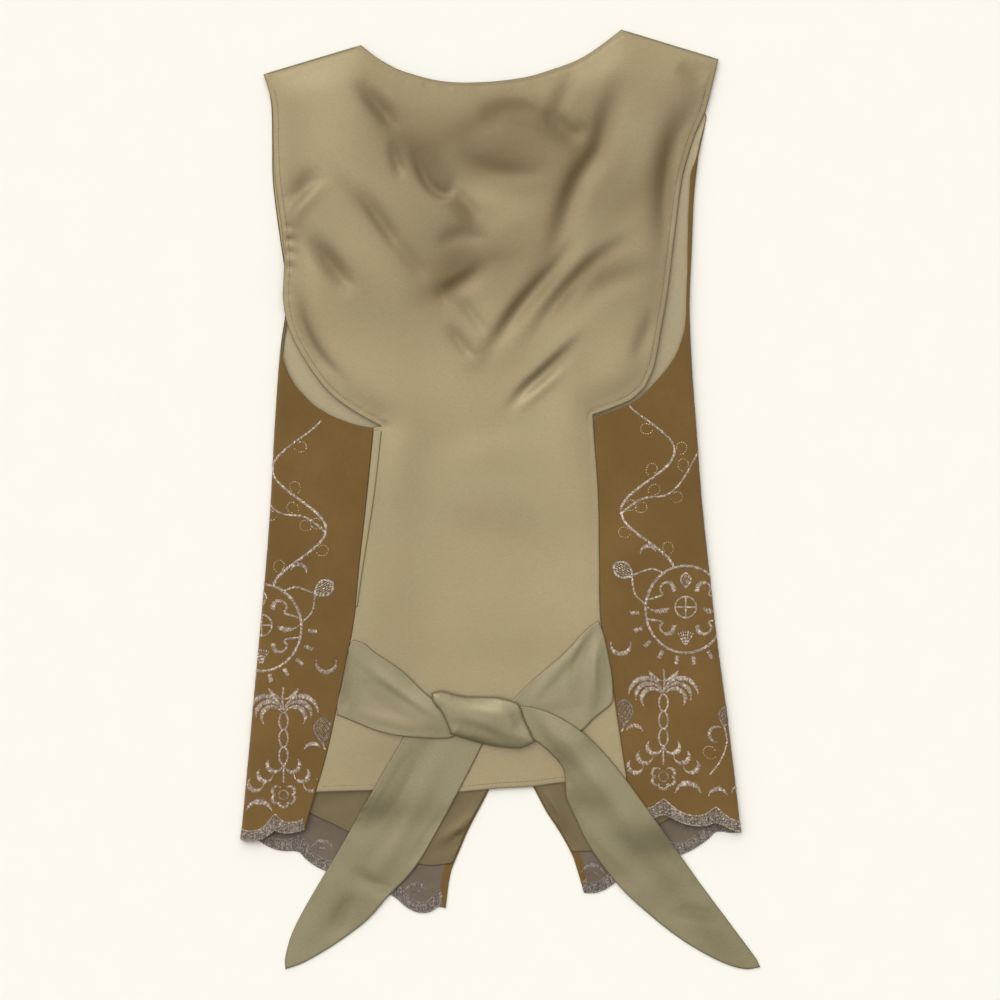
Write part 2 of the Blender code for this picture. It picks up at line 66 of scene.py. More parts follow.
class Face(Enum):
    """The two faces of a cloth: the one that shows when worn, and its wrong side."""

    OUTER = 1
    INNER = -1


# ---- curves and outlines ---------------------------------------------------------------------

def smoothstep(start: float, end: float, value: np.ndarray) -> np.ndarray:
    """Return 0 before start, 1 after end and a soft step between."""
    share = np.clip((value - start) / (end - start), 0.0, 1.0)
    return share * share * (3.0 - 2.0 * share)


def hermite(a: np.ndarray, b: np.ndarray, slope_a: np.ndarray, slope_b: np.ndarray,
            share: np.ndarray) -> np.ndarray:
    """Return the cubic between a and b with the given slopes."""
    square = share * share
    cube = square * share
    return ((2 * cube - 3 * square + 1) * a + (cube - 2 * square + share) * slope_a
            + (3 * square - 2 * cube) * b + (cube - square) * slope_b)


def read_table(rows: Sequence[Sequence[float]], column: int, at: np.ndarray) -> np.ndarray:
    """Read one column of a table on a smooth curve.

    Args:
        rows: Rows whose first value is the key.
        column: The column to read.
        at: The keys to read it at.

    Returns:
        The column's values at those keys.
    """
    table = np.array(sorted(rows), float)
    keys, values = table[:, 0], table[:, column]
    index = np.clip(np.searchsorted(keys, at) - 1, 0, len(keys) - 2)
    span = keys[index + 1] - keys[index]
    slopes = np.gradient(values, keys)
    share = np.clip((at - keys[index]) / span, 0.0, 1.0)
    return hermite(values[index], values[index + 1], slopes[index] * span,
                   slopes[index + 1] * span, share)


def curve_through(points: Sequence[Point], step: float) -> np.ndarray:
    """Return evenly spaced points on a smooth open curve through the given ones."""
    given = np.array(points, float)
    padded = np.vstack((2 * given[0] - given[1], given, 2 * given[-1] - given[-2]))
    dense = []
    for index in range(1, len(padded) - 2):
        start, end = padded[index], padded[index + 1]
        slope_a = (end - padded[index - 1]) / 2
        slope_b = (padded[index + 2] - start) / 2
        for share in np.linspace(0, 1, 24, endpoint=False):
            dense.append(hermite(start, end, slope_a, slope_b, share))
    dense.append(given[-1])
    return resample(np.array(dense), step)


def resample(line: np.ndarray, step: float) -> np.ndarray:
    """Return points at even spacing along a polyline, its ends kept."""
    lengths = np.concatenate(([0.0], np.cumsum(np.linalg.norm(np.diff(line, axis=0), axis=1))))
    count = max(2, int(round(lengths[-1] / step)) + 1)
    at = np.linspace(0, lengths[-1], count)
    return np.column_stack([np.interp(at, lengths, line[:, axis]) for axis in range(line.shape[1])])


def refine_ring(ring: np.ndarray, step: float, corner: float = 48.0) -> np.ndarray:
    """Return a closed outline smoothed between its corners.

    Args:
        ring: The outline's points.
        step: Spacing of the new points.
        corner: Turn in degrees above which a point stays a sharp corner.

    Returns:
        The finer outline.
    """
    before, after = np.roll(ring, 1, axis=0), np.roll(ring, -1, axis=0)
    inward, outward = ring - before, after - ring
    turn = np.abs(np.degrees(np.arctan2(
        inward[:, 0] * outward[:, 1] - inward[:, 1] * outward[:, 0],
        (inward * outward).sum(axis=1))))
    fine = []
    count = len(ring)
    for index in range(count):
        following = (index + 1) % count
        start, end = ring[index], ring[following]
        chord = end - start
        length = np.linalg.norm(chord)
        slope_a = chord if turn[index] > corner else (end - before[index])
        slope_b = chord if turn[following] > corner else (after[following] - start)
        slope_a = slope_a / max(1e-9, np.linalg.norm(slope_a)) * length
        slope_b = slope_b / max(1e-9, np.linalg.norm(slope_b)) * length
        pieces = max(1, int(round(length / step)))
        fine += [hermite(start, end, slope_a, slope_b, k / pieces) for k in range(pieces)]
    return np.array(fine)


def ring_area(ring: np.ndarray) -> float:
    """Return the signed area inside an outline."""
    after = np.roll(ring, -1, axis=0)
    return float(np.sum(ring[:, 0] * after[:, 1] - after[:, 0] * ring[:, 1]) / 2)


def edge_distance(ring: np.ndarray, points: np.ndarray) -> np.ndarray:
    """Return how far each point is from an outline's nearest edge."""
    start, edge = ring, np.roll(ring, -1, axis=0) - ring
    length = np.maximum(1e-12, (edge ** 2).sum(axis=1))
    nearest = np.empty(len(points))
    for first in range(0, len(points), 1500):
        part = points[first:first + 1500]
        away = part[:, None, :] - start[None]
        share = np.clip((away * edge[None]).sum(axis=2) / length, 0, 1)
        gap = away - share[..., None] * edge[None]
        nearest[first:first + 1500] = np.sqrt((gap ** 2).sum(axis=2).min(axis=1))
    return nearest


def inside(ring: np.ndarray, points: np.ndarray) -> np.ndarray:
    """Return which points lie inside an outline."""
    nxt = np.roll(ring, -1, axis=0)
    odd = np.zeros(len(points), bool)
    for start, end in zip(ring, nxt):
        if start[1] == end[1]:
            continue
        straddles = (start[1] > points[:, 1]) != (end[1] > points[:, 1])
        crossing = (end[0] - start[0]) * (points[:, 1] - start[1]) / (end[1] - start[1]) + start[0]
        odd ^= straddles & (points[:, 0] < crossing)
    return odd


def fill_points(ring: np.ndarray, step: float, borders: Sequence[float]) -> np.ndarray:
    """Return points inside an outline: rows that follow its edge, then an even grid.

    Args:
        ring: The outline.
        step: The grid's spacing.
        borders: Distances from the edge at which rows of points follow it.

    Returns:
        The inner points.
    """
    after, before = np.roll(ring, -1, axis=0), np.roll(ring, 1, axis=0)
    heading = after - before
    heading /= np.maximum(1e-12, np.linalg.norm(heading, axis=1))[:, None]
    normal = np.column_stack((-heading[:, 1], heading[:, 0])) * math.copysign(1, ring_area(ring))
    rows = []
    for distance in borders:
        row = ring + normal * distance
        keep = inside(ring, row) & (edge_distance(ring, row) > distance * 0.93)
        rows.append(row[keep])
    low, high = ring.min(axis=0), ring.max(axis=0)
    xs = np.arange(low[0], high[0] + step, step)
    ys = np.arange(low[1], high[1] + step, step * 0.866)
    grid = np.array([(x + (row % 2) * step / 2, y) for row, y in enumerate(ys) for x in xs])
    grid = grid[inside(ring, grid)]
    deepest = borders[-1] if borders else 0.0
    rows.append(grid[edge_distance(ring, grid) > deepest + step * 0.45])
    return np.vstack(rows)


# ---- meshes ----------------------------------------------------------------------------------

@dataclass
class Flat:
    """A cloth laid out flat: its points, its triangles and how far each point is from the edge."""

    ring: np.ndarray
    points: np.ndarray
    faces: np.ndarray
    edge: np.ndarray

    @classmethod
    def cut(cls, ring: np.ndarray, step: float, borders: Sequence[float],
            extra: np.ndarray | None = None) -> "Flat":
        """Cut a flat cloth to an outline and fill it with triangles.

        Args:
            ring: The outline.
            step: Spacing of the inner points.
            borders: Distances from the edge for rows that follow it.
            extra: More inner points, such as the columns of a fold.

        Returns:
            The flat cloth.
        """
        inner = fill_points(ring, step, borders)
        if extra is not None:
            inner = np.vstack((inner, extra))
        count = len(ring)
        points = [Vector(point) for point in np.vstack((ring, inner))]
        edges = [(index, (index + 1) % count) for index in range(count)]
        verts, _, faces, *_ = delaunay_2d_cdt(points, edges, [], 1, 1e-7)
        flat = np.array([tuple(vert) for vert in verts])
        return cls(ring, flat, np.array(faces), edge_distance(ring, flat))

    def smooth(self, values: np.ndarray, rounds: int) -> np.ndarray:
        """Return values evened out between neighbouring points."""
        pairs = np.vstack((self.faces[:, [0, 1]], self.faces[:, [1, 2]], self.faces[:, [2, 0]]))
        pairs = np.vstack((pairs, pairs[:, ::-1]))
        degree = np.bincount(pairs[:, 0], minlength=len(values))
        for _ in range(rounds):
            total = np.bincount(pairs[:, 0], weights=values[pairs[:, 1]], minlength=len(values))
            values = 0.4 * values + 0.6 * total / np.maximum(1, degree)
        return values


def make_mesh(name: str, points: np.ndarray, faces: Sequence[Sequence[int]],
              materials: Sequence[bpy.types.Material]) -> bpy.types.Object:
    """Make a smooth mesh object in the scene, from points in metres."""
    data = bpy.data.meshes.new(name)
    data.from_pydata(points.tolist(), [], faces)
    data.update()
    data.polygons.foreach_set("use_smooth", np.ones(len(data.polygons), bool))
    for material in materials:
        data.materials.append(material)
    made = bpy.data.objects.new(name, data)
    bpy.context.scene.collection.objects.link(made)
    return made


def write_layer(piece: bpy.types.Object, name: str, values: np.ndarray) -> None:
    """Write one value for each point of a piece, for its material to read."""
    layer = piece.data.attributes.new(name, "FLOAT", "POINT")
    layer.data.foreach_set("value", values.astype(np.float32))


def make_wall(name: str, flat: Flat, outer: np.ndarray, inner: np.ndarray,
              materials: Sequence[bpy.types.Material],
              slots: tuple[np.ndarray, np.ndarray] | None = None) -> bpy.types.Object:
    """Make a thin closed cloth between two faces.

    Args:
        name: The piece's name.
        flat: The cloth laid flat.
        outer: Places of its points on one face, in metres.
        inner: Places of the same points on the other face.
        materials: The materials.
        slots: Material of each triangle on the outer and on the inner face.

    Returns:
        The cloth, its faces pointing out, with a flat layout in its UV map.
    """
    count = len(flat.points)
    faces = flat.faces
    rims: dict[tuple[int, int], bool] = {}
    for a, b, c in faces.tolist():
        for pair in ((a, b), (b, c), (c, a)):
            if rims.pop((pair[1], pair[0]), None) is None:
                rims[pair] = True
    walls = [(b, a, a + count, b + count) for a, b in rims]
    every = faces.tolist() + (faces[:, ::-1] + count).tolist() + walls
    middle = faces[len(faces) // 2]
    spread = np.cross(outer[middle[1]] - outer[middle[0]], outer[middle[2]] - outer[middle[0]])
    if np.dot(spread, outer[middle[0]] - inner[middle[0]]) < 0:
        every = [face[::-1] for face in every]
    piece = make_mesh(name, np.vstack((outer, inner)), every, materials)
    data = piece.data
    if slots is not None:
        index = np.zeros(len(every), np.int32)
        index[:len(faces)] = slots[0]
        index[len(faces):2 * len(faces)] = slots[1]
        data.polygons.foreach_set("material_index", index)
    layout = data.uv_layers.new(name="cloth")
    corner = np.empty(len(data.loops), np.int32)
    data.loops.foreach_get("vertex_index", corner)
    layout.data.foreach_set("uv", (flat.points[corner % count] * MM).astype(np.float32).ravel())
    data.update()
    return piece


class Solid:
    """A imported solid, read for its outline and its heights."""

    def __init__(self, node: str) -> None:
        """Take a merged copy of the node's mesh, in millimetres."""
        mesh = bmesh.new()
        mesh.from_mesh(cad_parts[node].data)
        bmesh.ops.remove_doubles(mesh, verts=mesh.verts, dist=1e-6)
        bmesh.ops.triangulate(mesh, faces=mesh.faces)
        self.points = np.array([tuple(vert.co) for vert in mesh.verts]) / MM
        self.faces = np.array([[vert.index for vert in face.verts] for face in mesh.faces])
        mesh.free()
        self.tree = BVHTree.FromPolygons([Vector(point) for point in self.points],
                                         self.faces.tolist())

    def ring_of(self, chosen: np.ndarray) -> np.ndarray:
        """Return the point indices round the longest edge of the chosen faces, in order."""
        follows: dict[int, int] = {}
        edges = {}
        for a, b, c in self.faces[chosen].tolist():
            for pair in ((a, b), (b, c), (c, a)):
                if edges.pop((pair[1], pair[0]), None) is None:
                    edges[pair] = True
        for start, end in edges:
            follows[start] = end
        best: list[int] = []
        while follows:
            start, at = next(iter(follows.items()))
            loop = [start]
            del follows[start]
            while at != start and at in follows:
                loop.append(at)
                at = follows.pop(at)
            if len(loop) > len(best):
                best = loop
        return np.array(best)

    def top_ring(self) -> np.ndarray:
        """Return the outline of the upper face, in x and y."""
        corners = self.points[self.faces]
        normal = np.cross(corners[:, 1] - corners[:, 0], corners[:, 2] - corners[:, 0])
        normal /= np.maximum(1e-12, np.linalg.norm(normal, axis=1))[:, None]
        return self.points[self.ring_of(normal[:, 2] > 0.3)][:, :2]

    def heights(self, points: np.ndarray, from_above: bool = True) -> np.ndarray:
        """Return the height of the solid's upper or lower face at each point."""
        start, down = (60.0, -1.0) if from_above else (-60.0, 1.0)
        middle = points.mean(axis=0)
        found = np.full(len(points), np.nan)
        for index, (x, y) in enumerate(points):
            for pull in (0.0, 0.004, 0.015):
                origin = Vector((x + (middle[0] - x) * pull, y + (middle[1] - y) * pull, start))
                hit = self.tree.ray_cast(origin, Vector((0, 0, down)))
                if hit[0] is not None:
                    found[index] = hit[0].z
                    break
        for index in np.flatnonzero(np.isnan(found)):
            near = self.tree.find_nearest(Vector((*points[index], start)))
            found[index] = near[0].z
        return found


# ---- the folded fronts -----------------------------------------------------------------------

@dataclass(frozen=True)
class SideFold:
    """How a front turns round the side of the garment: a half round of changing height."""

    side: Side
    cloth: float = 1.2
    bend: float = 12.0
    body_height: float = 8.5
    shoulder_height: float = 6.0
    shrink_from: float = 150.0
    shrink_to: float = 300.0
    lines: tuple[tuple[float, float, float], ...] = (
        (400, -221, 203), (360, -213, 194), (325, -212, 182), (290, -211, 176.5),
        (225, -201, 172.8), (170, -194.5, 171), (130, -198.5, 172.5), (60, -203.4, 177.5),
        (0, -206.5, 182), (-60, -211, 188.3), (-120, -216.5, 195), (-180, -222, 203),
        (-240, -227.5, 210.5), (-320, -235, 219.5),
    )

    def height(self, y: np.ndarray) -> np.ndarray:
        """Return how high the fold stands at each level."""
        shrink = smoothstep(self.shrink_from, self.shrink_to, y)
        return self.body_height + (self.shoulder_height - self.body_height) * shrink

    def line(self, y: np.ndarray) -> np.ndarray:
        """Return x of the fold at each level."""
        return read_table(self.lines, 1 if self.side is Side.LEFT else 2, y)

    def place(self, flat: np.ndarray, offset: np.ndarray | float) -> np.ndarray:
        """Place points of the cloth.

        Args:
            flat: Distance along the cloth from the fold, and y, for each point.
            offset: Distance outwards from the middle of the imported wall.

        Returns:
            The places in metres.
        """
        along, y = flat[:, 0], flat[:, 1]
        radius = (self.height(y) - self.cloth) / 2
        middle, outer, reach = self.cloth / 2 + radius, radius + self.cloth / 2, radius + offset
        angle = np.pi * np.clip(along / self.bend, 0, 1)
        inward = outer - reach * np.sin(angle)
        inward = inward + np.where(along < 0, -along, 0) + np.maximum(along - self.bend, 0)
        x = self.line(y) - self.side.value * inward
        return np.column_stack((x, y, middle - reach * np.cos(angle))) * MM

    def unfold(self, points: np.ndarray) -> tuple[np.ndarray, np.ndarray]:
        """Return each solid point's place in the flat cloth and its distance outwards."""
        x, y, z = points.T
        radius = (self.height(y) - self.cloth) / 2
        middle, outer = self.cloth / 2 + radius, radius + self.cloth / 2
        inward = self.side.value * (self.line(y) - x)
        straight = inward >= outer - 1e-4
        angle = np.arctan2(outer - inward, middle - z)
        low = z < middle
        along = np.where(straight, np.where(low, outer - inward, self.bend + inward - outer),
                         self.bend * angle / np.pi)
        reach = np.where(straight, np.abs(z - middle), np.hypot(outer - inward, z - middle))
        return np.column_stack((along, y)), reach - radius

    def layout(self, node: str) -> np.ndarray:
        """Return the outline of a folded node's outer face, laid flat."""
        solid = Solid(node)
        flat, offset = self.unfold(solid.points)
        level = np.median(offset)
        outside = offset > level
        return flat[solid.ring_of(outside[solid.faces].all(axis=1))]


CREASE_SPREAD = 1.2  # how much softer every crease lies than its stated width
CREASE_RELIEF = 0.8  # the share of its stated height that a crease in the satin keeps


@dataclass(frozen=True)
class Crease:
    """One soft fold in a cloth along a smooth path, with the cloth beside it pushed the other way.

    A height below 0 is a trough.  The answer is the share of the height that the cloth
    beside the fold takes up, and lean makes the fold steeper on one side.
    """

    path: tuple[Point, ...]
    height: float
    width: float
    lean: float = 0.0
    answer: float = 0.3

    def lift(self, points: np.ndarray) -> np.ndarray:
        """Return how much the crease raises each point, in millimetres."""
        width = self.width * CREASE_SPREAD
        line = curve_through(self.path, max(2.0, width / 3))
        share = np.linspace(0, 1, len(line))
        ahead = np.gradient(line, axis=0)
        ahead /= np.linalg.norm(ahead, axis=1)[:, None]
        reach = 2.6 * width
        near = np.nonzero((points > line.min(axis=0) - reach).all(axis=1)
                          & (points < line.max(axis=0) + reach).all(axis=1))[0]
        total = np.zeros(len(points))
        if not len(near):
            return total
        away = points[near][:, None] - line[None]
        closest = np.argmin((away ** 2).sum(axis=2), axis=1)
        rows = np.arange(len(near))
        gap, heading = away[rows, closest], ahead[closest]
        across = heading[:, 0] * gap[:, 1] - heading[:, 1] * gap[:, 0]
        beyond = (heading * gap).sum(axis=1)
        broad = width * (1.0 + self.lean * np.tanh(across / width))
        square = (across / broad) ** 2 + (beyond / width) ** 2
        fade = smoothstep(-0.05, 0.42, share) * (1 - smoothstep(0.58, 1.05, share))
        total[near] = self.height * fade[closest] * (1 - self.answer * square) * np.exp(-square)
        return total


    def shadow(self, points: np.ndarray) -> np.ndarray:
        """Return the painted shade that the crease leaves in and beside its trough, or the painted
        light along a ridge.
        """
        if self.height > 0:
            return replace(self, height=-0.07, width=self.width * 1.3, answer=0.0).lift(points)
        depth = min(0.34, 0.06 - self.height / 14.0)
        return replace(self, height=depth, width=self.width * 1.5, answer=0.0).lift(points)


def raise_by(creases: Iterable[Crease], points: np.ndarray) -> np.ndarray:
    """Return what a set of creases adds to the height of each point."""
    total = np.zeros(len(points))
    for crease in creases:
        total += crease.lift(points)
    return total


# ---- threads ---------------------------------------------------------------------------------

@dataclass
class Threads:
    """Stitches on a cloth, kept as arrays in the cloth's own measure until they are made."""

    seed: int
    starts: list[np.ndarray] = field(default_factory=list)
    ends: list[np.ndarray] = field(default_factory=list)
    looks: list[np.ndarray] = field(default_factory=list)
    rng: np.random.Generator = field(init=False)

    def __post_init__(self) -> None:
        """Start the draw of stitch lengths and tones."""
        self.rng = np.random.default_rng(self.seed)

    def add(self, start: np.ndarray, end: np.ndarray, width: float, height: float,
            slot: int = 0) -> None:
        """Add stitches between two sets of points."""
        self.starts.append(start)
        self.ends.append(end)
        self.looks.append(np.tile((width, height, float(slot)), (len(start), 1)))

    def band(self, line: np.ndarray, width: np.ndarray | float, spacing: float = 0.8,
             slant: float = 25.0, thread: float = 0.75, height: float = 0.55,
             slot: int = 0) -> None:
        """Cover a line with satin stitches that cross it.

        Args:
            line: Points along the middle of the band.
            width: The band's width, one value or one for each point of the line.
            spacing: Distance between stitches.
            slant: Degrees that a stitch leans from straight across.
            thread: Width of a thread.
            height: How far it stands out of the cloth.
            slot: Index of its material.
        """
        wide = np.broadcast_to(np.asarray(width, float), (len(line),))
        lengths = np.concatenate(([0.0], np.cumsum(np.linalg.norm(np.diff(line, axis=0), axis=1))))
        at = np.linspace(0, lengths[-1], max(2, int(round(lengths[-1] / spacing)) + 1))
        even = np.column_stack([np.interp(at, lengths, column)
                                for column in (line[:, 0], line[:, 1], wide)])
        centre, wide = even[:, :2], np.maximum(even[:, 2], 0.9)
        ahead = np.gradient(centre, axis=0)
        ahead /= np.maximum(1e-9, np.linalg.norm(ahead, axis=1))[:, None]
        across = np.column_stack((-ahead[:, 1], ahead[:, 0]))
        lean = math.radians(slant)
        reach = (across * math.cos(lean) + ahead * math.sin(lean)) * (wide / 2)[:, None]
        ragged = self.rng.uniform(0.82, 1.22, (2, len(centre), 1))
        self.add(centre + reach * ragged[0], centre - reach * ragged[1], thread, height, slot)

    def dashes(self, line: np.ndarray, stitch: float, gap: float, thread: float,
               height: float, slot: int = 0) -> None:
        """Sew running stitches along a line."""
        even = resample(line, stitch + gap)
        ahead = np.diff(even, axis=0) * (stitch / (stitch + gap))
        self.add(even[:-1], even[:-1] + ahead, thread, height, slot)

    def trim(self, ring: np.ndarray, margin: float) -> None:
        """Leave out the stitches that come closer to an outline than a margin, or run past it.

        Args:
            ring: The outline.
            margin: The least distance from it; below 0, how far a stitch may run past it.
        """
        start, end = np.vstack(self.starts), np.vstack(self.ends)
        both = np.vstack((start, end))
        side = np.where(inside(ring, both), 1.0, -1.0)
        held = (side * edge_distance(ring, both) > margin).reshape(2, -1).all(axis=0)
        look = np.vstack(self.looks)
        self.starts, self.ends, self.looks = [start[held]], [end[held]], [look[held]]

    def make(self, name: str, place: Callable[[np.ndarray, np.ndarray], np.ndarray],
             materials: Sequence[bpy.types.Material], mirrored: bool) -> bpy.types.Object:
        """Make all the stitches as one mesh.

        Args:
            name: The piece's name.
            place: Places flat points at heights above the cloth, in metres.
            materials: The threads' materials.
            mirrored: Whether the cloth's measure runs the other way round in the scene.

        Returns:
            The threads, each one closed, with a tone of its own.
        """
        start, end = np.vstack(self.starts), np.vstack(self.ends)
        look = np.vstack(self.looks)
        rng = self.rng
        count = len(start)
        start = start + rng.normal(0, 0.09, start.shape)
        end = end + rng.normal(0, 0.09, end.shape)
        along = end - start
        length = np.maximum(1e-6, np.linalg.norm(along, axis=1))[:, None]
        across = np.column_stack((-along[:, 1], along[:, 0])) / length * look[:, :1] / 2
        high = look[:, 1] * rng.uniform(0.8, 1.15, count)
        low = np.zeros(count)
        near, far = start + along * 0.2, start + along * 0.8
        corners = ((start, high * 0.25), (near + across, low), (near, high), (near - across, low),
                   (far + across, low), (far, high), (far - across, low), (end, high * 0.25))
        points = np.stack([place(flat, level) for flat, level in corners], axis=1)
        shape = ((0, 2, 1), (0, 3, 2), (0, 1, 3), (1, 2, 5, 4), (2, 3, 6, 5), (3, 1, 4, 6),
                 (7, 4, 5), (7, 5, 6), (7, 6, 4))
        if mirrored:
            shape = tuple(face[::-1] for face in shape)
        faces = [tuple(8 * index + corner for corner in face)
                 for index in range(count) for face in shape]
        piece = make_mesh(name, points.reshape(-1, 3), faces, materials)
        piece.data.polygons.foreach_set(
            "material_index", np.repeat(look[:, 2].astype(np.int32), len(shape)))
        write_layer(piece, "tone", np.repeat(rng.uniform(0, 1, count), 8))
        return piece


def arc_through(start: Point, middle: Point, end: Point, step: float = 0.8) -> np.ndarray:
    """Return points along the arc of a circle through three points."""
    a, b, c = (complex(*point) for point in (start, middle, end))
    w = (c - a) / (b - a)
    if abs(w.imag) < 1e-3:
        return resample(np.array((start, middle, end), float), step)
    centre = (b - a) * (w - abs(w) ** 2) / (2j * w.imag) + a
    radius = abs(a - centre)
    first, through, last = (math.atan2((z - centre).imag, (z - centre).real) for z in (a, b, c))
    sweep = (last - first) % math.tau
    if (through - first) % math.tau > sweep:
        sweep -= math.tau
    angle = first + np.linspace(0, sweep, max(4, int(abs(sweep) * radius / step)))
    return np.column_stack((centre.real + radius * np.cos(angle),
                            centre.imag + radius * np.sin(angle)))


def polar(middle: Point, radius: float, angle: float) -> Point:
    """Return the point at a radius and an angle in degrees from a middle."""
    turn = math.radians(angle)
    return (middle[0] + radius * math.cos(turn), middle[1] + radius * math.sin(turn))


@dataclass
class Needlework:
    """The embroidered motif, in millimetres about its ring's middle.

    The first measure runs from the side seam towards the fold, the second up the panel.
    The vine, the rays, the scrolls, the palm and the flower are set out by rule: in pairs,
    in quarters, or at even steps along a curve.  The rest is placed one by one.
    """

    threads: Threads
    to_cloth: Callable[[np.ndarray], np.ndarray]
    gold: int = 1
    bright: int = 2
    dull: int = 3
    ring_across: float = 36.0
    ring_up: float = 39.0
    trunk_x: float = -20.0

    def line_of(self, points: Sequence[Point]) -> np.ndarray:
        """Return an arc through three points, or a smooth curve through more."""
        return arc_through(*points) if len(points) == 3 else curve_through(points, 0.8)

    def stem(self, points: Sequence[Point], width: float = 2.2, taper: float = 0.0,
             slot: int = 0) -> None:
        """Sew a rope of slanted stitches along a curve, thinner towards its end by taper."""
        line = curve_through(points, 0.8)
        wide = width * (1 - taper * np.linspace(0, 1, len(line)))
        self.threads.band(self.to_cloth(line), wide, 0.85, 38, 0.85, 0.5, slot)

    def crescent(self, points: Sequence[Point], width: float, fullest: float = 0.5,
                 slot: int = 0) -> None:
        """Sew a horn: a curved leaf with fine tips, thickest at a share of its length."""
        line = self.line_of(points)
        share = np.linspace(0, 1, len(line))
        power = math.log(0.5) / math.log(fullest)
        wide = np.maximum(1.1, width * np.sin(np.pi * share ** power) ** 0.75)
        self.threads.band(self.to_cloth(line), wide, 0.85, 12, 0.85, 0.5, slot)

    def bulb(self, points: Sequence[Point], width: float, thin: float = 1.8) -> None:
        """Sew a stem that ends in a thick knob."""
        line = self.line_of(points)
        share = np.linspace(0, 1, len(line))
        wide = thin + (width - thin) * smoothstep(0.6, 0.85, share)
        self.threads.band(self.to_cloth(line), wide, 0.85, 14, 0.85, 0.5)

    def bar(self, middle: Point, angle: float, length: float = 7.5, width: float = 4.0,
            slot: int = 0) -> None:
        """Sew a short satin bar at an angle in degrees."""
        reach = np.array((math.cos(math.radians(angle)), math.sin(math.radians(angle)))) * length / 2
        line = np.array((np.array(middle) - reach, np.array(middle) + reach))
        self.threads.band(self.to_cloth(resample(line, 0.5)), width, 0.9, 4, 0.9, 0.5, slot)

    def loop(self, middle: Point, across: float, up: float, width: float = 1.9,
             tilt: float = 0.0, slot: int = 0) -> None:
        """Sew a rope round an ellipse tilted in degrees."""
        angle = np.linspace(0, math.tau, 90)
        lean = math.radians(tilt)
        x, y = across * np.cos(angle), up * np.sin(angle)
        line = np.column_stack((middle[0] + x * math.cos(lean) - y * math.sin(lean),
                                middle[1] + x * math.sin(lean) + y * math.cos(lean)))
        self.threads.band(self.to_cloth(resample(line, 0.8)), width, 0.85, 34, 0.8, 0.5, slot)

    def curl(self, middle: Point, radius: float, start: float, turn: float = 290.0) -> None:
        """Sew a dotted curl of small gold knots that opens into a short tail."""
        count = max(8, int(abs(math.radians(turn)) * radius / 1.7))
        share = np.linspace(0, 1, count)
        angle = np.radians(start) + np.radians(turn) * share
        wide = radius * (1 + 0.35 * smoothstep(0.75, 1.0, share))
        centre = np.column_stack((middle[0] + wide * np.cos(angle),
                                  middle[1] + wide * np.sin(angle)))
        ahead = np.column_stack((-np.sin(angle), np.cos(angle))) * 0.68
        self.threads.add(self.to_cloth(centre - ahead), self.to_cloth(centre + ahead),
                         1.3, 0.5, self.gold)

    def leaf(self, middle: Point, length: float, width: float, angle: float, rim: float = 2.2,
             slot: int = 0, lean: float = 0.0) -> None:
        """Sew a filled bud: a thick rim round close rows of long stitches.

        Args:
            middle: Its middle.
            length: Its length.
            width: Its width.
            angle: The way its blunt end points, in degrees.
            rim: The rim's thickness.
            slot: Index of the thread.
            lean: Degrees that the rows lean from its length.
        """
        turn = math.radians(angle)
        ahead = np.array((math.cos(turn), math.sin(turn)))
        across = np.array((-ahead[1], ahead[0]))
        share = np.linspace(0, 1, 60)
        half = width / 2 * np.sin(np.pi * share ** 1.25) ** 0.72
        spine = np.array(middle) + ahead * ((share - 0.5) * length)[:, None]
        edge = np.vstack((spine + across * half[:, None], (spine - across * half[:, None])[::-1]))
        slope = math.tan(math.radians(lean))
        for level in np.arange(-width, width, 1.75):
            offset = level + slope * (share - 0.5) * length
            held = np.abs(offset) < half - rim * 0.6
            row = (spine + across * offset[:, None])[held]
            if len(row) > 3:
                self.threads.dashes(self.to_cloth(resample(row, 0.6)), 3.0, 0.35, 1.05, 0.42, slot)
        self.threads.band(self.to_cloth(resample(edge, 0.9)), rim, 0.85, 25, 0.85, 0.5, slot)

    def horn(self, middle: Point, radius: float, start: float, sweep: float, width: float,
             fullest: float = 0.5, slot: int = 0) -> None:
        """Sew a horn along part of a circle, given by its start and sweep in degrees."""
        points = [polar(middle, radius, start + sweep * share) for share in (0, 0.5, 1)]
        self.crescent(points, width, fullest, slot)

    def sew_vine(self) -> None:
        """Sew two winding stems above the ring, with dotted curls on either side in turn."""
        rise = np.linspace(0, 1, 26)
        trunk = np.column_stack((-34 + 24 * np.cos(math.tau * 1.35 * rise + 0.3),
                                 self.ring_up + 146 * rise))
        branch = trunk[8] + np.column_stack((96 * rise, 88 * rise ** 1.6
                                             + 7 * np.sin(math.tau * 1.5 * rise)))
        for line, width, first in ((trunk, 3.8, 2), (branch, 2.7, 4)):
            self.stem([tuple(point) for point in line], width, 0.35)
            for turn, index in enumerate(range(first, len(line) - 1, 4)):
                way = 1 if turn % 2 else -1
                ahead = line[index + 1] - line[index - 1]
                aside = np.array((-ahead[1], ahead[0])) * way / np.linalg.norm(ahead)
                facing = math.degrees(math.atan2(-aside[1], -aside[0]))
                self.curl(tuple(line[index] + aside * 6.8), 4.6, facing, 290.0 * way)

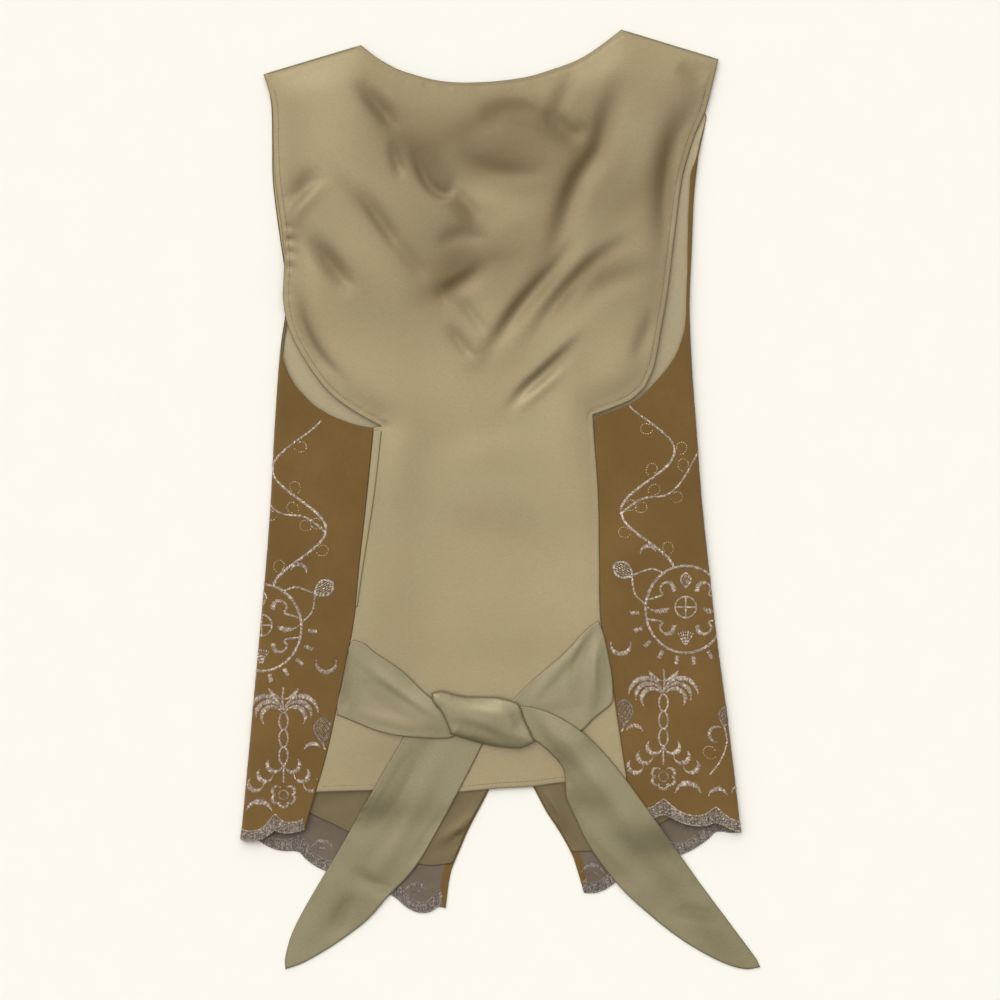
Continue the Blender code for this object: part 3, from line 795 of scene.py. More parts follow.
    def sew_wheel(self) -> None:
        """Sew the great ring with its rays, the small wheel in it and four scrolls round that."""
        self.loop((0, 0), self.ring_across, self.ring_up, 3.2)
        self.loop((0, 2), 9.5, 9.5, 2.0)
        for angle in (0, 90):
            self.stem((polar((0, 2), 9, angle), (0, 2), polar((0, 2), 9, angle + 180)), 1.9)
        for angle in range(184, 376, 19):
            self.bar(polar((0, 0), 46, angle), angle, 7.0, 3.8)
        for quarter in range(4):
            angle = 45 + 90 * quarter
            way = 1 if quarter % 2 else -1
            middle = polar((0, 1), 23.5, angle)
            scroll = [polar(middle, 6.4, angle + 90 * way - 235 * way * share)
                      for share in np.linspace(0, 1, 6)]
            self.bulb([polar((0, 0), 34.5, angle + 30 * way), *scroll], 4.8, 2.2)
        self.leaf((0, 26), 13, 9, 90, 2.0, lean=25)
        self.crescent(((-34, 2), (-25, -2), (-15, 1)), 5.6, 0.7)
        self.crescent(((34, 2), (25, -2), (15, 1)), 5.6, 0.7)
        self.sew_fan((0, -34), 90, 15)

    def sew_fan(self, foot: Point, angle: float, length: float) -> None:
        """Sew a small fan of running stitches."""
        for lean in np.linspace(-28, 28, 7):
            row = np.array((polar(foot, 2.0, angle + lean), polar(foot, length, angle + lean)))
            self.threads.dashes(self.to_cloth(resample(row, 0.6)), 2.4, 0.3, 1.2, 0.5)

    def sew_bud(self) -> None:
        """Sew the veined bud on two stems that spring from the ring."""
        bud = polar((0, 0), 66, 148)
        self.leaf(bud, 19, 14, 148, 2.6, self.bright)
        for spring in (120, 172):
            middle = polar((0, 0), 48, 148 + 0.6 * (spring - 148))
            self.stem((polar(bud, 9, 328), middle, polar((0, 0), 37.5, spring)), 2.3)
        self.horn(polar((0, 0), 60, 124), 7, 20, 160, 4.4)
        self.horn(polar((0, 0), 66, 208), 9, 170, 200, 4.8)

    def sew_palm(self) -> None:
        """Sew the palm: a forked top, three pairs of fronds, a linked trunk and its roots."""
        top, pitch, links = -70.0, 15.5, 3
        self.stem(((self.trunk_x, top + 16), (self.trunk_x + 1, top + 6),
                   (self.trunk_x, top - 4)), 2.2)
        for way in (-1, 1):
            self.crescent(((self.trunk_x, top + 6), (self.trunk_x + 7 * way, top + 8),
                           (self.trunk_x + 13 * way, top + 15)), 4.6, 0.6)
            for step in range(3):
                base = (self.trunk_x + way * 1.5, top - 6 + 2.5 * step)
                crest = (self.trunk_x + way * (10 + 4.5 * step), top - 1 + 4.5 * step)
                tip = (self.trunk_x + way * (18 + 6.5 * step), top - 16 + 5.0 * step)
                self.crescent((base, crest, tip), 5.0, 0.55)
            for step in range(3):
                out, down = 8.0 + 8.5 * step, top - 8 - links * pitch - 8.5 * step
                self.crescent(((self.trunk_x + way * (out - 7), down + 1),
                               (self.trunk_x + way * out, down - 5),
                               (self.trunk_x + way * (out + 5), down + 6)), 5.0, 0.6)
        for link in range(links):
            self.loop((self.trunk_x, top - 6 - pitch * (link + 0.5)), 3.9, pitch / 2, 2.2)
        foot = top - 6 - links * pitch
        self.stem(((self.trunk_x, foot), (self.trunk_x, foot - 8), (self.trunk_x, foot - 16)), 2.0)

    def sew_thistle(self) -> None:
        """Sew the thistle beside the palm and the leaves under it."""
        middle = (self.trunk_x - 35.0, -92.0)
        self.leaf(middle, 22, 15, 90, 2.2, self.dull, 30)
        self.stem((polar(middle, 11, 270), polar(middle, 18, 262), polar(middle, 24, 250)), 2.0)
        self.horn((middle[0] + 9, middle[1] - 20), 8, 150, -130, 4.2)

    def sew_foot(self) -> None:
        """Sew the hanging flower, the side branch and the horns above the scallops."""
        heart = (self.trunk_x, -150.0)
        self.loop(heart, 4.2, 4.2, 1.6, 0, self.dull)
        for angle in (30, 150, 210, 270, 330):
            self.horn(polar(heart, 6.5, angle), 4.5, angle - 95, 190, 3.2)
        bud = (36.0, -96.0)
        self.leaf(bud, 18, 12, 80, 2.0, self.dull, 30)
        self.stem((polar(bud, 9, 260), (37, -118), (32, -134), (22, -148)), 2.1)
        self.horn((28, -112), 7, 60, 210, 3.8)
        self.curl((21, -128), 5.4, 20, 300)
        for middle, size in (((2, -168), 12), ((29, -170), 9), ((52, -166), 7)):
            self.horn(middle, size, 20, 140, size * 0.48)

    def sew(self) -> None:
        """Sew the whole motif."""
        self.sew_vine()
        self.sew_wheel()
        self.sew_bud()
        self.sew_palm()
        self.sew_thistle()
        self.sew_foot()


# ---- finishes --------------------------------------------------------------------------------

Colour = tuple[float, float, float]


class Graph:
    """A material's node tree, with short names for the nodes that the finishes use."""

    def __init__(self, name: str) -> None:
        """Start a Principled material that reads object coordinates."""
        self.material = bpy.data.materials.new(name)
        self.material.use_nodes = True
        self.nodes = self.material.node_tree.nodes
        self.links = self.material.node_tree.links
        self.shader = self.nodes["Principled BSDF"]
        self.place = self.nodes.new("ShaderNodeTexCoord").outputs["Object"]

    def stretched(self, scale: Colour, turn: float = 0.0) -> bpy.types.NodeSocket:
        """Return object coordinates scaled, and turned about Z in degrees."""
        node = self.nodes.new("ShaderNodeMapping")
        node.inputs["Scale"].default_value = scale
        node.inputs["Rotation"].default_value = (0, 0, math.radians(turn))
        self.links.new(self.place, node.inputs["Vector"])
        return node.outputs["Vector"]

    def noise(self, vector: bpy.types.NodeSocket, scale: float, detail: float = 2.0,
              roughness: float = 0.5) -> bpy.types.NodeSocket:
        """Return a noise pattern."""
        node = self.nodes.new("ShaderNodeTexNoise")
        node.inputs["Scale"].default_value = scale
        node.inputs["Detail"].default_value = detail
        node.inputs["Roughness"].default_value = roughness
        self.links.new(vector, node.inputs["Vector"])
        return node.outputs["Fac"]

    def ramp(self, factor: bpy.types.NodeSocket,
             stops: Sequence[tuple[float, Colour]]) -> bpy.types.NodeSocket:
        """Return colours read from a ramp."""
        node = self.nodes.new("ShaderNodeValToRGB")
        elements = node.color_ramp.elements
        while len(elements) < len(stops):
            elements.new(0.5)
        for element, (position, colour) in zip(elements, stops):
            element.position = position
            element.color = (*colour, 1.0)
        self.links.new(factor, node.inputs["Fac"])
        return node.outputs["Color"]

    def centred(self, value: bpy.types.NodeSocket) -> bpy.types.NodeSocket:
        """Return a value from -1 to 1 brought into 0 to 1."""
        node = self.nodes.new("ShaderNodeMapRange")
        node.inputs["From Min"].default_value = -1.0
        self.links.new(value, node.inputs["Value"])
        return node.outputs["Result"]

    def mix(self, first: bpy.types.NodeSocket, second: bpy.types.NodeSocket, share: float,
            blend: str = "MIX") -> bpy.types.NodeSocket:
        """Return two colours mixed by a fixed share."""
        node = self.nodes.new("ShaderNodeMix")
        node.data_type = "RGBA"
        node.blend_type = blend
        node.inputs["Factor"].default_value = share
        self.links.new(first, node.inputs["A"])
        self.links.new(second, node.inputs["B"])
        return node.outputs["Result"]

    def bump(self, height: bpy.types.NodeSocket, distance: float, strength: float = 1.0,
             under: bpy.types.NodeSocket | None = None) -> bpy.types.NodeSocket:
        """Return a normal bent by a height pattern, its distance in metres."""
        node = self.nodes.new("ShaderNodeBump")
        node.inputs["Strength"].default_value = strength
        node.inputs["Distance"].default_value = distance
        self.links.new(height, node.inputs["Height"])
        if under is not None:
            self.links.new(under, node.inputs["Normal"])
        return node.outputs["Normal"]

    def finish(self, colour: bpy.types.NodeSocket, roughness: float,
               normal: bpy.types.NodeSocket | None = None, **values: float) -> bpy.types.Material:
        """Join a colour and a normal to the shader, set its values and return the material."""
        self.links.new(colour, self.shader.inputs["Base Color"])
        self.shader.inputs["Roughness"].default_value = roughness
        if normal is not None:
            self.links.new(normal, self.shader.inputs["Normal"])
        for name, value in values.items():
            self.shader.inputs[name.replace("_", " ")].default_value = value
        return self.material


@dataclass(frozen=True)
class SatinFinish:
    """Satin: a thread-coloured lustre over a fine warp, with pink and green shades.

    The cloth's painted sheen tint turns it pink above 0, where its folds lie in shade, and
    grey-green below 0, where light falls on it.  Its shade attribute is painted shade: above 0
    it darkens the satin in the folds and across the upper back, and below 0 it paints light.
    """

    name: str
    base: Colour
    roughness: float = 0.36
    lustre: float = 0.35
    grain: float = 0.00003

    def shaded(self, red: float, green: float, blue: float) -> Colour:
        """Return the base colour with its channels scaled."""
        return (self.base[0] * red, self.base[1] * green, self.base[2] * blue)

    def build(self) -> bpy.types.Material:
        """Return the material."""
        graph = Graph(self.name)
        drift = graph.noise(graph.stretched((1, 1, 1), 30), 9.0, 3.0, 0.55)
        colour = graph.ramp(drift, ((0.34, self.shaded(0.93, 0.94, 0.93)),
                                    (0.66, self.shaded(1.06, 1.05, 1.06))))
        # Painted sheen: pink where the folds lie in shade, grey-green where light falls.
        painted_sheen_tint = graph.nodes.new("ShaderNodeAttribute")
        painted_sheen_tint.attribute_name = "painted_sheen_tint"
        grey = self.shaded(0.91, 0.97, 1.10)
        plain = self.shaded(1, 1, 1)
        pink = self.shaded(1.05, 0.87, 0.80)
        shade = graph.ramp(graph.centred(painted_sheen_tint.outputs["Fac"]),
                           ((0.0, grey), (0.5, plain), (1.0, pink)))
        patches = graph.noise(graph.stretched((1, 1.4, 1), 55), 16.0, 3.0, 0.6)
        warmth = graph.ramp(patches, ((0.45, plain), (0.72, self.shaded(1.04, 0.94, 0.90))))
        shot = graph.mix(graph.mix(shade, warmth, 0.5), colour, 0.5)
        slub = graph.noise(graph.stretched((1, 7, 1)), 300.0, 3.0, 0.75)
        fleck = graph.ramp(slub, ((0.3, (0.84,) * 3), (0.7, (1.1,) * 3)))
        cross = graph.noise(graph.stretched((5, 1, 1)), 420.0, 2.0, 0.7)
        weft = graph.ramp(cross, ((0.3, (0.9,) * 3), (0.7, (1.07,) * 3)))
        woven = graph.mix(graph.mix(shot, fleck, 0.75, "MULTIPLY"), weft, 0.75, "MULTIPLY")
        # Painted shade: darker in the folds and across the upper back above 0, painted light below 0.
        depth = graph.nodes.new("ShaderNodeAttribute")
        depth.attribute_name = "shade"
        painted_shade = graph.ramp(graph.centred(depth.outputs["Fac"]),
                            ((0.0, (1.25, 1.25, 1.28)), (0.5, (1, 1, 1)),
                             (1.0, (0.42, 0.37, 0.24))))
        woven = graph.mix(woven, painted_shade, 1.0, "MULTIPLY")
        return graph.finish(woven, self.roughness, graph.bump(slub, self.grain),
                            Metallic=self.lustre, Sheen_Weight=0.12, Sheen_Roughness=0.4,
                            Specular_IOR_Level=0.5)


@dataclass(frozen=True)
class WovenFinish:
    """A matt woven cloth with a slight nap and an uneven dye."""

    name: str
    dark: Colour
    light: Colour
    roughness: float = 0.88
    weave: float = 0.00008
    sheen: float = 0.15

    def build(self) -> bpy.types.Material:
        """Return the material."""
        graph = Graph(self.name)
        dye = graph.noise(graph.stretched((1, 1, 1), 10), 14.0, 4.0, 0.6)
        base = graph.ramp(dye, ((0.3, self.dark), (0.7, self.light)))
        yarn = graph.noise(graph.stretched((6, 1, 1)), 300.0, 3.0, 0.65)
        pick = graph.noise(graph.stretched((1, 6, 1)), 300.0, 3.0, 0.65)
        threads = graph.mix(graph.ramp(yarn, ((0.3, (0.82,) * 3), (0.7, (1.12,) * 3))),
                            graph.ramp(pick, ((0.3, (0.86,) * 3), (0.7, (1.1,) * 3))), 0.5)
        colour = graph.mix(base, threads, 0.75, "MULTIPLY")
        normal = graph.bump(pick, self.weave, 1.0, graph.bump(yarn, self.weave))
        return graph.finish(colour, self.roughness, normal, Sheen_Weight=self.sheen,
                            Sheen_Roughness=0.6, Specular_IOR_Level=0.25)


@dataclass(frozen=True)
class ThreadFinish:
    """Embroidery thread: a silky sheen, each stitch with its own tone."""

    name: str
    dark: Colour
    light: Colour
    roughness: float = 0.42

    def build(self) -> bpy.types.Material:
        """Return the material."""
        graph = Graph(self.name)
        tone = graph.nodes.new("ShaderNodeAttribute")
        tone.attribute_name = "tone"
        base = graph.ramp(tone.outputs["Fac"], ((0.0, self.dark), (1.0, self.light)))
        ply = graph.noise(graph.stretched((1, 1, 1)), 620.0, 2.0, 0.6)
        twist = graph.ramp(ply, ((0.40, (0.42,) * 3), (0.62, (1.25,) * 3)))
        return graph.finish(graph.mix(base, twist, 1.0, "MULTIPLY"), self.roughness, None,
                            Sheen_Weight=0.3, Sheen_Roughness=0.35, Specular_IOR_Level=0.6)


@dataclass
class Finishes:
    """Every material of the waistcoat, built once."""

    satin: bpy.types.Material = field(init=False)
    lining: bpy.types.Material = field(init=False)
    tie: bpy.types.Material = field(init=False)
    cloth: bpy.types.Material = field(init=False)
    wrong_side: bpy.types.Material = field(init=False)
    silver: bpy.types.Material = field(init=False)
    bright: bpy.types.Material = field(init=False)
    dull: bpy.types.Material = field(init=False)
    gold: bpy.types.Material = field(init=False)
    edging: bpy.types.Material = field(init=False)
    edging_dark: bpy.types.Material = field(init=False)
    edging_back: bpy.types.Material = field(init=False)
    painted_shade_satin: bpy.types.Material = field(init=False)
    seam_thread: bpy.types.Material = field(init=False)

    def __post_init__(self) -> None:
        """Build the materials."""
        self.satin = SatinFinish("satin", (0.325, 0.262, 0.141)).build()
        # The ties' satin: slightly greener than the back's and darker, the darkness painted shade for
        # their duller sheen.
        self.tie = SatinFinish("tie_satin_painted_shade", (0.256, 0.220, 0.122), 0.36, 0.38).build()
        self.lining = SatinFinish("lining_satin", (0.330, 0.272, 0.156), 0.40).build()
        self.cloth = WovenFinish("golden_brown_cloth", (0.142, 0.079, 0.017),
                                 (0.182, 0.102, 0.025)).build()
        self.wrong_side = WovenFinish("cloth_wrong_side", (0.122, 0.090, 0.062),
                                      (0.182, 0.142, 0.105)).build()
        self.silver = ThreadFinish("silver_pink_thread", (0.32, 0.225, 0.165),
                                   (0.95, 0.79, 0.66)).build()
        self.bright = ThreadFinish("pale_thread", (0.40, 0.33, 0.27), (0.86, 0.79, 0.70)).build()
        self.dull = ThreadFinish("mauve_thread", (0.17, 0.125, 0.10), (0.48, 0.39, 0.34)).build()
        self.gold = ThreadFinish("gold_thread", (0.38, 0.26, 0.09), (0.78, 0.62, 0.34)).build()
        self.edging = ThreadFinish("edging_thread", (0.13, 0.090, 0.060),
                                   (0.88, 0.74, 0.58)).build()
        self.edging_dark = ThreadFinish("dull_thread", (0.07, 0.050, 0.038),
                                        (0.40, 0.33, 0.27)).build()
        self.edging_back = ThreadFinish("edging_reverse", (0.08, 0.060, 0.045),
                                        (0.56, 0.46, 0.36)).build()
        # Painted shade: a darker satin for the rolls along the shoulder edges.
        self.painted_shade_satin = SatinFinish("painted_shade_satin", (0.20, 0.172, 0.095), 0.5, 0.2).build()
        self.seam_thread = ThreadFinish("seam_thread", (0.15, 0.115, 0.055),
                                        (0.24, 0.19, 0.10)).build()


# ---- the garment -----------------------------------------------------------------------------

def cut_size(ring: np.ndarray) -> tuple[float, float]:
    """Return the width and length, in metres, of the smallest rectangle round an outline."""
    best = None
    for turn in np.radians(np.arange(0, 90, 3)):
        axes = np.array(((math.cos(turn), -math.sin(turn)), (math.sin(turn), math.cos(turn))))
        spread = np.ptp(ring @ axes, axis=0) * MM
        if best is None or spread[0] * spread[1] < best[0] * best[1]:
            best = spread
    return float(min(best)), float(max(best))


def declare(piece: bpy.types.Object, node: str, flat: Flat,
            rests_on: Sequence[str], extras: Sequence[bpy.types.Object] = ()) -> None:
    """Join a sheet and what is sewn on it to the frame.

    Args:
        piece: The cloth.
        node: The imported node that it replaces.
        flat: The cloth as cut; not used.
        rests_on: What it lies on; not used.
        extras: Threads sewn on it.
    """
    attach(piece, "root")
    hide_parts(node)
    for extra in extras:
        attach(extra, "root")
    cut_size(flat.ring)
    list(rests_on)
    abs(ring_area(flat.ring)) * MM * MM
    LOG.info("%s: %d triangles", piece.name, sum(len(p.vertices) - 2 for p in piece.data.polygons))
    for extra in extras:
        LOG.info("%s: %d triangles", extra.name,
                 sum(len(p.vertices) - 2 for p in extra.data.polygons))


def rolled(edge: np.ndarray, radius: float, least: float = 0.3) -> np.ndarray:
    """Return the share of a cloth's thickness left near its rounded edge."""
    share = 1.0 - np.clip(edge / radius, 0.0, 1.0)
    return np.maximum(least, np.sqrt(np.maximum(0.0, 1.0 - share * share)))


@dataclass
class Front:
    """One front: embroidered cloth round a side fold, its lining, border and needlework.

    The scallops are given as their pitch and the place of a notch along the hem.
    """

    side: Side
    finishes: Finishes
    thread_room: float = 0.5
    cloth_inner: float = -0.6
    lining_outer: float = -0.95
    lining_inner: float = -1.6
    turning: float = 7.0
    border: float = 9.5
    border_notch: float = 0.62
    notch_reach: float = 4.5
    scallops_right: Point = (46.0, 29.0)
    scallops_left: Point = (43.0, 38.0)
    # painted shade: the lining darker towards its lower edge
    lining_shade: float = 0.95
    mirror_at: float = 50.0
    wheel_right: Point = (166.5, -97.2)
    wheel_left: Point = (-214.0, -113.5)

    def __post_init__(self) -> None:
        """Set up the fold and the names."""
        self.fold = SideFold(self.side)
        self.word = self.side.name.lower()

    @property
    def cloth_outer(self) -> float:
        """Return the offset of the cloth's outer face, which leaves room for the threads."""
        return self.fold.cloth / 2 - self.thread_room

    def bend_points(self, ring: np.ndarray, column: float, row: float) -> np.ndarray:
        """Return the extra columns of points that keep the half round smooth."""
        alongs = np.arange(0.0, self.fold.bend + column / 2, column)
        levels = np.arange(ring[:, 1].min(), ring[:, 1].max(), row)
        points = np.array([(along, y) for y in levels for along in alongs])
        points = points[inside(ring, points)]
        return points[edge_distance(ring, points) > 1.0]

    def cut(self, node: str, step: float) -> Flat:
        """Cut one of this front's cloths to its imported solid's outline."""
        ring = refine_ring(self.fold.layout(node), 2.2)
        rows = (0.5, 1.3, 2.6, self.turning - 0.3, self.turning + 0.3)
        return Flat.cut(ring, step, rows, self.bend_points(ring, 1.5, step))

    def ripple(self, flat: np.ndarray) -> np.ndarray:
        """Return the cloth's slight unevenness on the upper layer, in millimetres."""
        along, y = flat[:, 0], flat[:, 1]
        upper = smoothstep(12.0, 30.0, along)
        wave = np.sin(y / 41.0 + along / 23.0) + 0.6 * np.sin(y / 17.0 - along / 31.0 + 1.0)
        return upper * 0.28 * (wave + 1.6)

    def outward_ring(self, ring: np.ndarray, reach: int) -> np.ndarray:
        """Return outward directions round an outline, averaged over a reach of points."""
        heading = np.roll(ring, -reach, axis=0) - np.roll(ring, reach, axis=0)
        heading /= np.maximum(1e-9, np.linalg.norm(heading, axis=1))[:, None]
        return (np.column_stack((heading[:, 1], -heading[:, 0]))
                * math.copysign(1, ring_area(ring)))

    def build_cloth(self) -> tuple[bpy.types.Object, Flat]:
        """Build the embroidered cloth: brown outside, and its wrong side with brown turnings."""
        flat = self.cut("front_" + self.word, 4.4)
        middle = (self.cloth_outer + self.cloth_inner) / 2
        half = (self.cloth_outer - self.cloth_inner) / 2 * rolled(flat.edge, 0.7)
        wave = self.ripple(flat.points)
        outer = self.fold.place(flat.points, middle + half + wave)
        inner = self.fold.place(flat.points, middle - half + wave)
        outward = self.outward_ring(flat.ring, 8)
        centre = flat.points[flat.faces].mean(axis=1)
        nearest = np.array([np.argmin(((flat.ring - spot) ** 2).sum(axis=1)) for spot in centre])
        near = flat.edge[flat.faces].mean(axis=1) < self.turning + 0.05
        wrong = np.where(near & (outward[nearest, 1] > -0.72), 0, 1)
        slots = (np.zeros(len(flat.faces), np.int32), wrong.astype(np.int32))
        piece = make_wall(self.word + "_front", flat, outer, inner,
                          (self.finishes.cloth, self.finishes.wrong_side), slots)
        return piece, flat

    def build_lining(self) -> None:
        """Build the satin lining inside the front."""
        flat = self.cut("lining_" + self.word, 4.2)
        middle = (self.lining_outer + self.lining_inner) / 2
        half = (self.lining_outer - self.lining_inner) / 2 * rolled(flat.edge, 0.7)
        lift = raise_by(self.lining_creases(), flat.points)
        lift = np.where(flat.points[:, 0] < 0, np.clip(lift, -0.2, 1.5), 0.0)
        outer = self.fold.place(flat.points, middle + half - lift)
        inner = self.fold.place(flat.points, middle - half - lift)
        piece = make_wall(self.word + "_lining", flat, outer, inner, (self.finishes.lining,))
        # Painted shade: the lining darker towards its lower edge, where it shows below the back's
        # hem.
        depth = self.lining_shade * (1 - smoothstep(-240.0, -60.0, flat.points[:, 1]))
        write_layer(piece, "shade", np.tile(depth, 2))
        declare(piece, "lining_" + self.word, flat,
                ["front_" + self.word])

    def lower_layer(self, points: Sequence[Point]) -> list[Point]:
        """Turn places on the face-down layer into the cloth's own measure."""
        placed = np.array(points, float)
        inward = self.side.value * (self.fold.line(placed[:, 1]) - placed[:, 0])
        along = self.fold.height(placed[:, 1]) / 2 - inward
        return [(float(a), float(y)) for a, y in zip(along, placed[:, 1])]

    def lining_creases(self) -> list[Crease]:
        """Return the lining's folds where it shows below the back's hem."""
        folds = {
            Side.LEFT: ((((-22, -262), (-38, -276), (-60, -292)), -1.3, 4.0),
                        (((-18, -274), (-34, -292), (-58, -308)), 1.5, 4.0),
                        (((-30, -296), (-44, -308), (-62, -318)), -1.2, 3.6),
                        (((-130, -262), (-146, -270), (-164, -274)), -1.2, 4.0)),
            Side.RIGHT: ((((30, -258), (42, -276), (52, -290)), -1.3, 3.6),
                         (((38, -256), (52, -280), (60, -300)), 1.4, 4.0),
                         (((44, -288), (56, -302), (72, -312)), -1.3, 3.6)),
        }
        return [Crease(tuple(self.lower_layer(path)), height, width)
                for path, height, width in folds[self.side]]

    def to_cloth(self, drawn: np.ndarray) -> np.ndarray:
        """Turn the motif's measure, from the wheel's middle, into the cloth's own measure."""
        if self.side is Side.RIGHT:
            x, y = self.wheel_right[0] + drawn[:, 0], self.wheel_right[1] + drawn[:, 1]
        else:
            x, y = self.wheel_left[0] - drawn[:, 0], self.wheel_left[1] + drawn[:, 1]
        inward = self.side.value * (self.fold.line(y) - x)
        return np.column_stack((self.fold.bend + inward - self.fold.height(y) / 2, y))

    def place_on(self, face: Face) -> Callable[[np.ndarray, np.ndarray], np.ndarray]:
        """Return a function that places flat points at heights above one face of the cloth."""
        def place(flat: np.ndarray, level: np.ndarray) -> np.ndarray:
            """Place flat points at heights above the face."""
            wave = self.ripple(flat)
            if face is Face.OUTER:
                return self.fold.place(flat, self.cloth_outer + wave + level - 0.06)
            return self.fold.place(flat, self.cloth_inner + wave - level + 0.06)
        return place

    def build_needlework(self, flat: Flat) -> bpy.types.Object:
        """Embroider the motif round the side, and once more, mirrored, on the front."""
        threads = Threads(11 + self.side.value)
        Needlework(threads, self.to_cloth).sew()

        def mirrored(drawn: np.ndarray) -> np.ndarray:
            """Return the motif's measure mirrored towards the centre of the front."""
            return self.to_cloth(np.column_stack((2 * self.mirror_at - drawn[:, 0], drawn[:, 1])))
        Needlework(threads, mirrored).sew()
        threads.trim(flat.ring, 0.8)
        return threads.make(self.word + "_needlework", self.place_on(Face.OUTER),
                            (self.finishes.silver, self.finishes.gold, self.finishes.bright,
                             self.finishes.dull), self.side is Side.RIGHT)

    def hem_line(self, flat: Flat) -> tuple[np.ndarray, np.ndarray]:
        """Return points close together along the scalloped hem, and the way up from each."""
        ring = refine_ring(flat.ring, 0.7)
        ring = np.roll(ring, -int(np.argmax(ring[:, 1])), axis=0)
        broad, close = self.outward_ring(ring, 34), self.outward_ring(ring, 7)
        hem = (broad[:, 1] < -0.74) & (ring[:, 1] < -240)
        hem &= (close[:, 1] < -0.25) & np.roll(close[:, 1] < -0.25, 5)
        upward = 0.3 * np.column_stack((-close[hem][:, 0], -close[hem][:, 1])) + (0.0, 0.7)
        upward /= np.linalg.norm(upward, axis=1)[:, None]
        return ring[hem], upward

    def build_border(self, flat: Flat, face: Face) -> bpy.types.Object:
        """Embroider the scalloped edge on one face: a speckled band between two cords.

        Args:
            flat: The front as cut.
            face: The face to sew on.

        Returns:
            The border's threads.
        """
        threads = Threads(31 + self.side.value + face.value)
        rng = np.random.default_rng(5)
        edge, upward = self.hem_line(flat)
        count = len(edge)
        left = self.side is Side.LEFT
        pitch, notch = self.scallops_left if left else self.scallops_right
        to_notch = np.abs((edge[:, 0] - notch + pitch / 2) % pitch - pitch / 2)
        peak = self.border_notch * np.exp(-to_notch / self.notch_reach)
        depth = (self.border * (1 + peak))[:, None]
        sway = np.column_stack((-upward[:, 1], upward[:, 0]))
        threads.add(edge + upward * 0.3, edge + upward * depth, 0.85, 0.3, 1)
        for _ in range(4):
            level = depth * rng.uniform(0.06, 0.92, count)[:, None]
            turn = rng.uniform(-1.15, 1.15, count)[:, None]
            length = rng.uniform(1.0, 2.1, count)[:, None]
            start = edge + upward * level + sway * rng.uniform(-0.5, 0.5, count)[:, None]
            end = start + (upward * np.sin(turn) + sway * np.cos(turn)) * length
            threads.add(start, end, 0.6, 0.55, 0)
        threads.band(edge + upward * depth, 1.9, 0.8, 40, 0.7, 0.55, 2)
        threads.band(edge + upward * 0.8, 1.6, 0.8, 35, 0.7, 0.55, 0)
        if face is Face.OUTER:
            finishes = (self.finishes.edging, self.finishes.edging_dark, self.finishes.silver)
        else:
            finishes = (self.finishes.edging_back, self.finishes.edging_dark,
                        self.finishes.dull)
            self.sew_reverse(threads, edge, pitch, notch)
        threads.trim(flat.ring, -0.6)
        flip = (self.side is Side.RIGHT) != (face is Face.INNER)
        word = "border" if face is Face.OUTER else "border_back"
        return threads.make(f"{self.word}_{word}", self.place_on(face), finishes, flip)

    def sew_reverse(self, threads: Threads, edge: np.ndarray, pitch: float,
                    notch: float) -> None:
        """Sew the motif's reverse: dull arcs and trails above the middle of each scallop."""
        needle = Needlework(threads, np.asarray)
        first = notch + pitch / 2 - 6 * pitch
        for middle in first + pitch * np.arange(12):
            gap = np.abs(edge[:, 0] - middle)
            if gap.min() > 1.5:
                continue
            x, y = edge[int(np.argmin(gap))]
            needle.horn((x, y + 14), 11, 25, 130, 4.6, slot=2)
            needle.horn((x, y + 13), 6, 15, 150, 2.0, slot=1)

    def build(self) -> None:
        """Build the front with all that is sewn on it."""
        cloth, flat = self.build_cloth()
        extras = [self.build_needlework(flat), self.build_border(flat, Face.OUTER),
                  self.build_border(flat, Face.INNER)]
        declare(cloth, "front_" + self.word, flat, [], extras)
        self.build_lining()


@dataclass(frozen=True)
class PaintedPatch:
    """A soft painted patch: a pink sheen tint or painted shade above 0, a grey-green sheen tint or
    painted light below 0.
    """

    middle: Point
    reach: Point
    turn: float
    strength: float

    def at(self, points: np.ndarray) -> np.ndarray:
        """Return the patch's strength at each point."""
        lean = math.radians(self.turn)
        away = points - np.array(self.middle)
        long = away[:, 0] * math.cos(lean) + away[:, 1] * math.sin(lean)
        short = away[:, 1] * math.cos(lean) - away[:, 0] * math.sin(lean)
        return self.strength * np.exp(-(long / self.reach[0]) ** 2 - (short / self.reach[1]) ** 2)


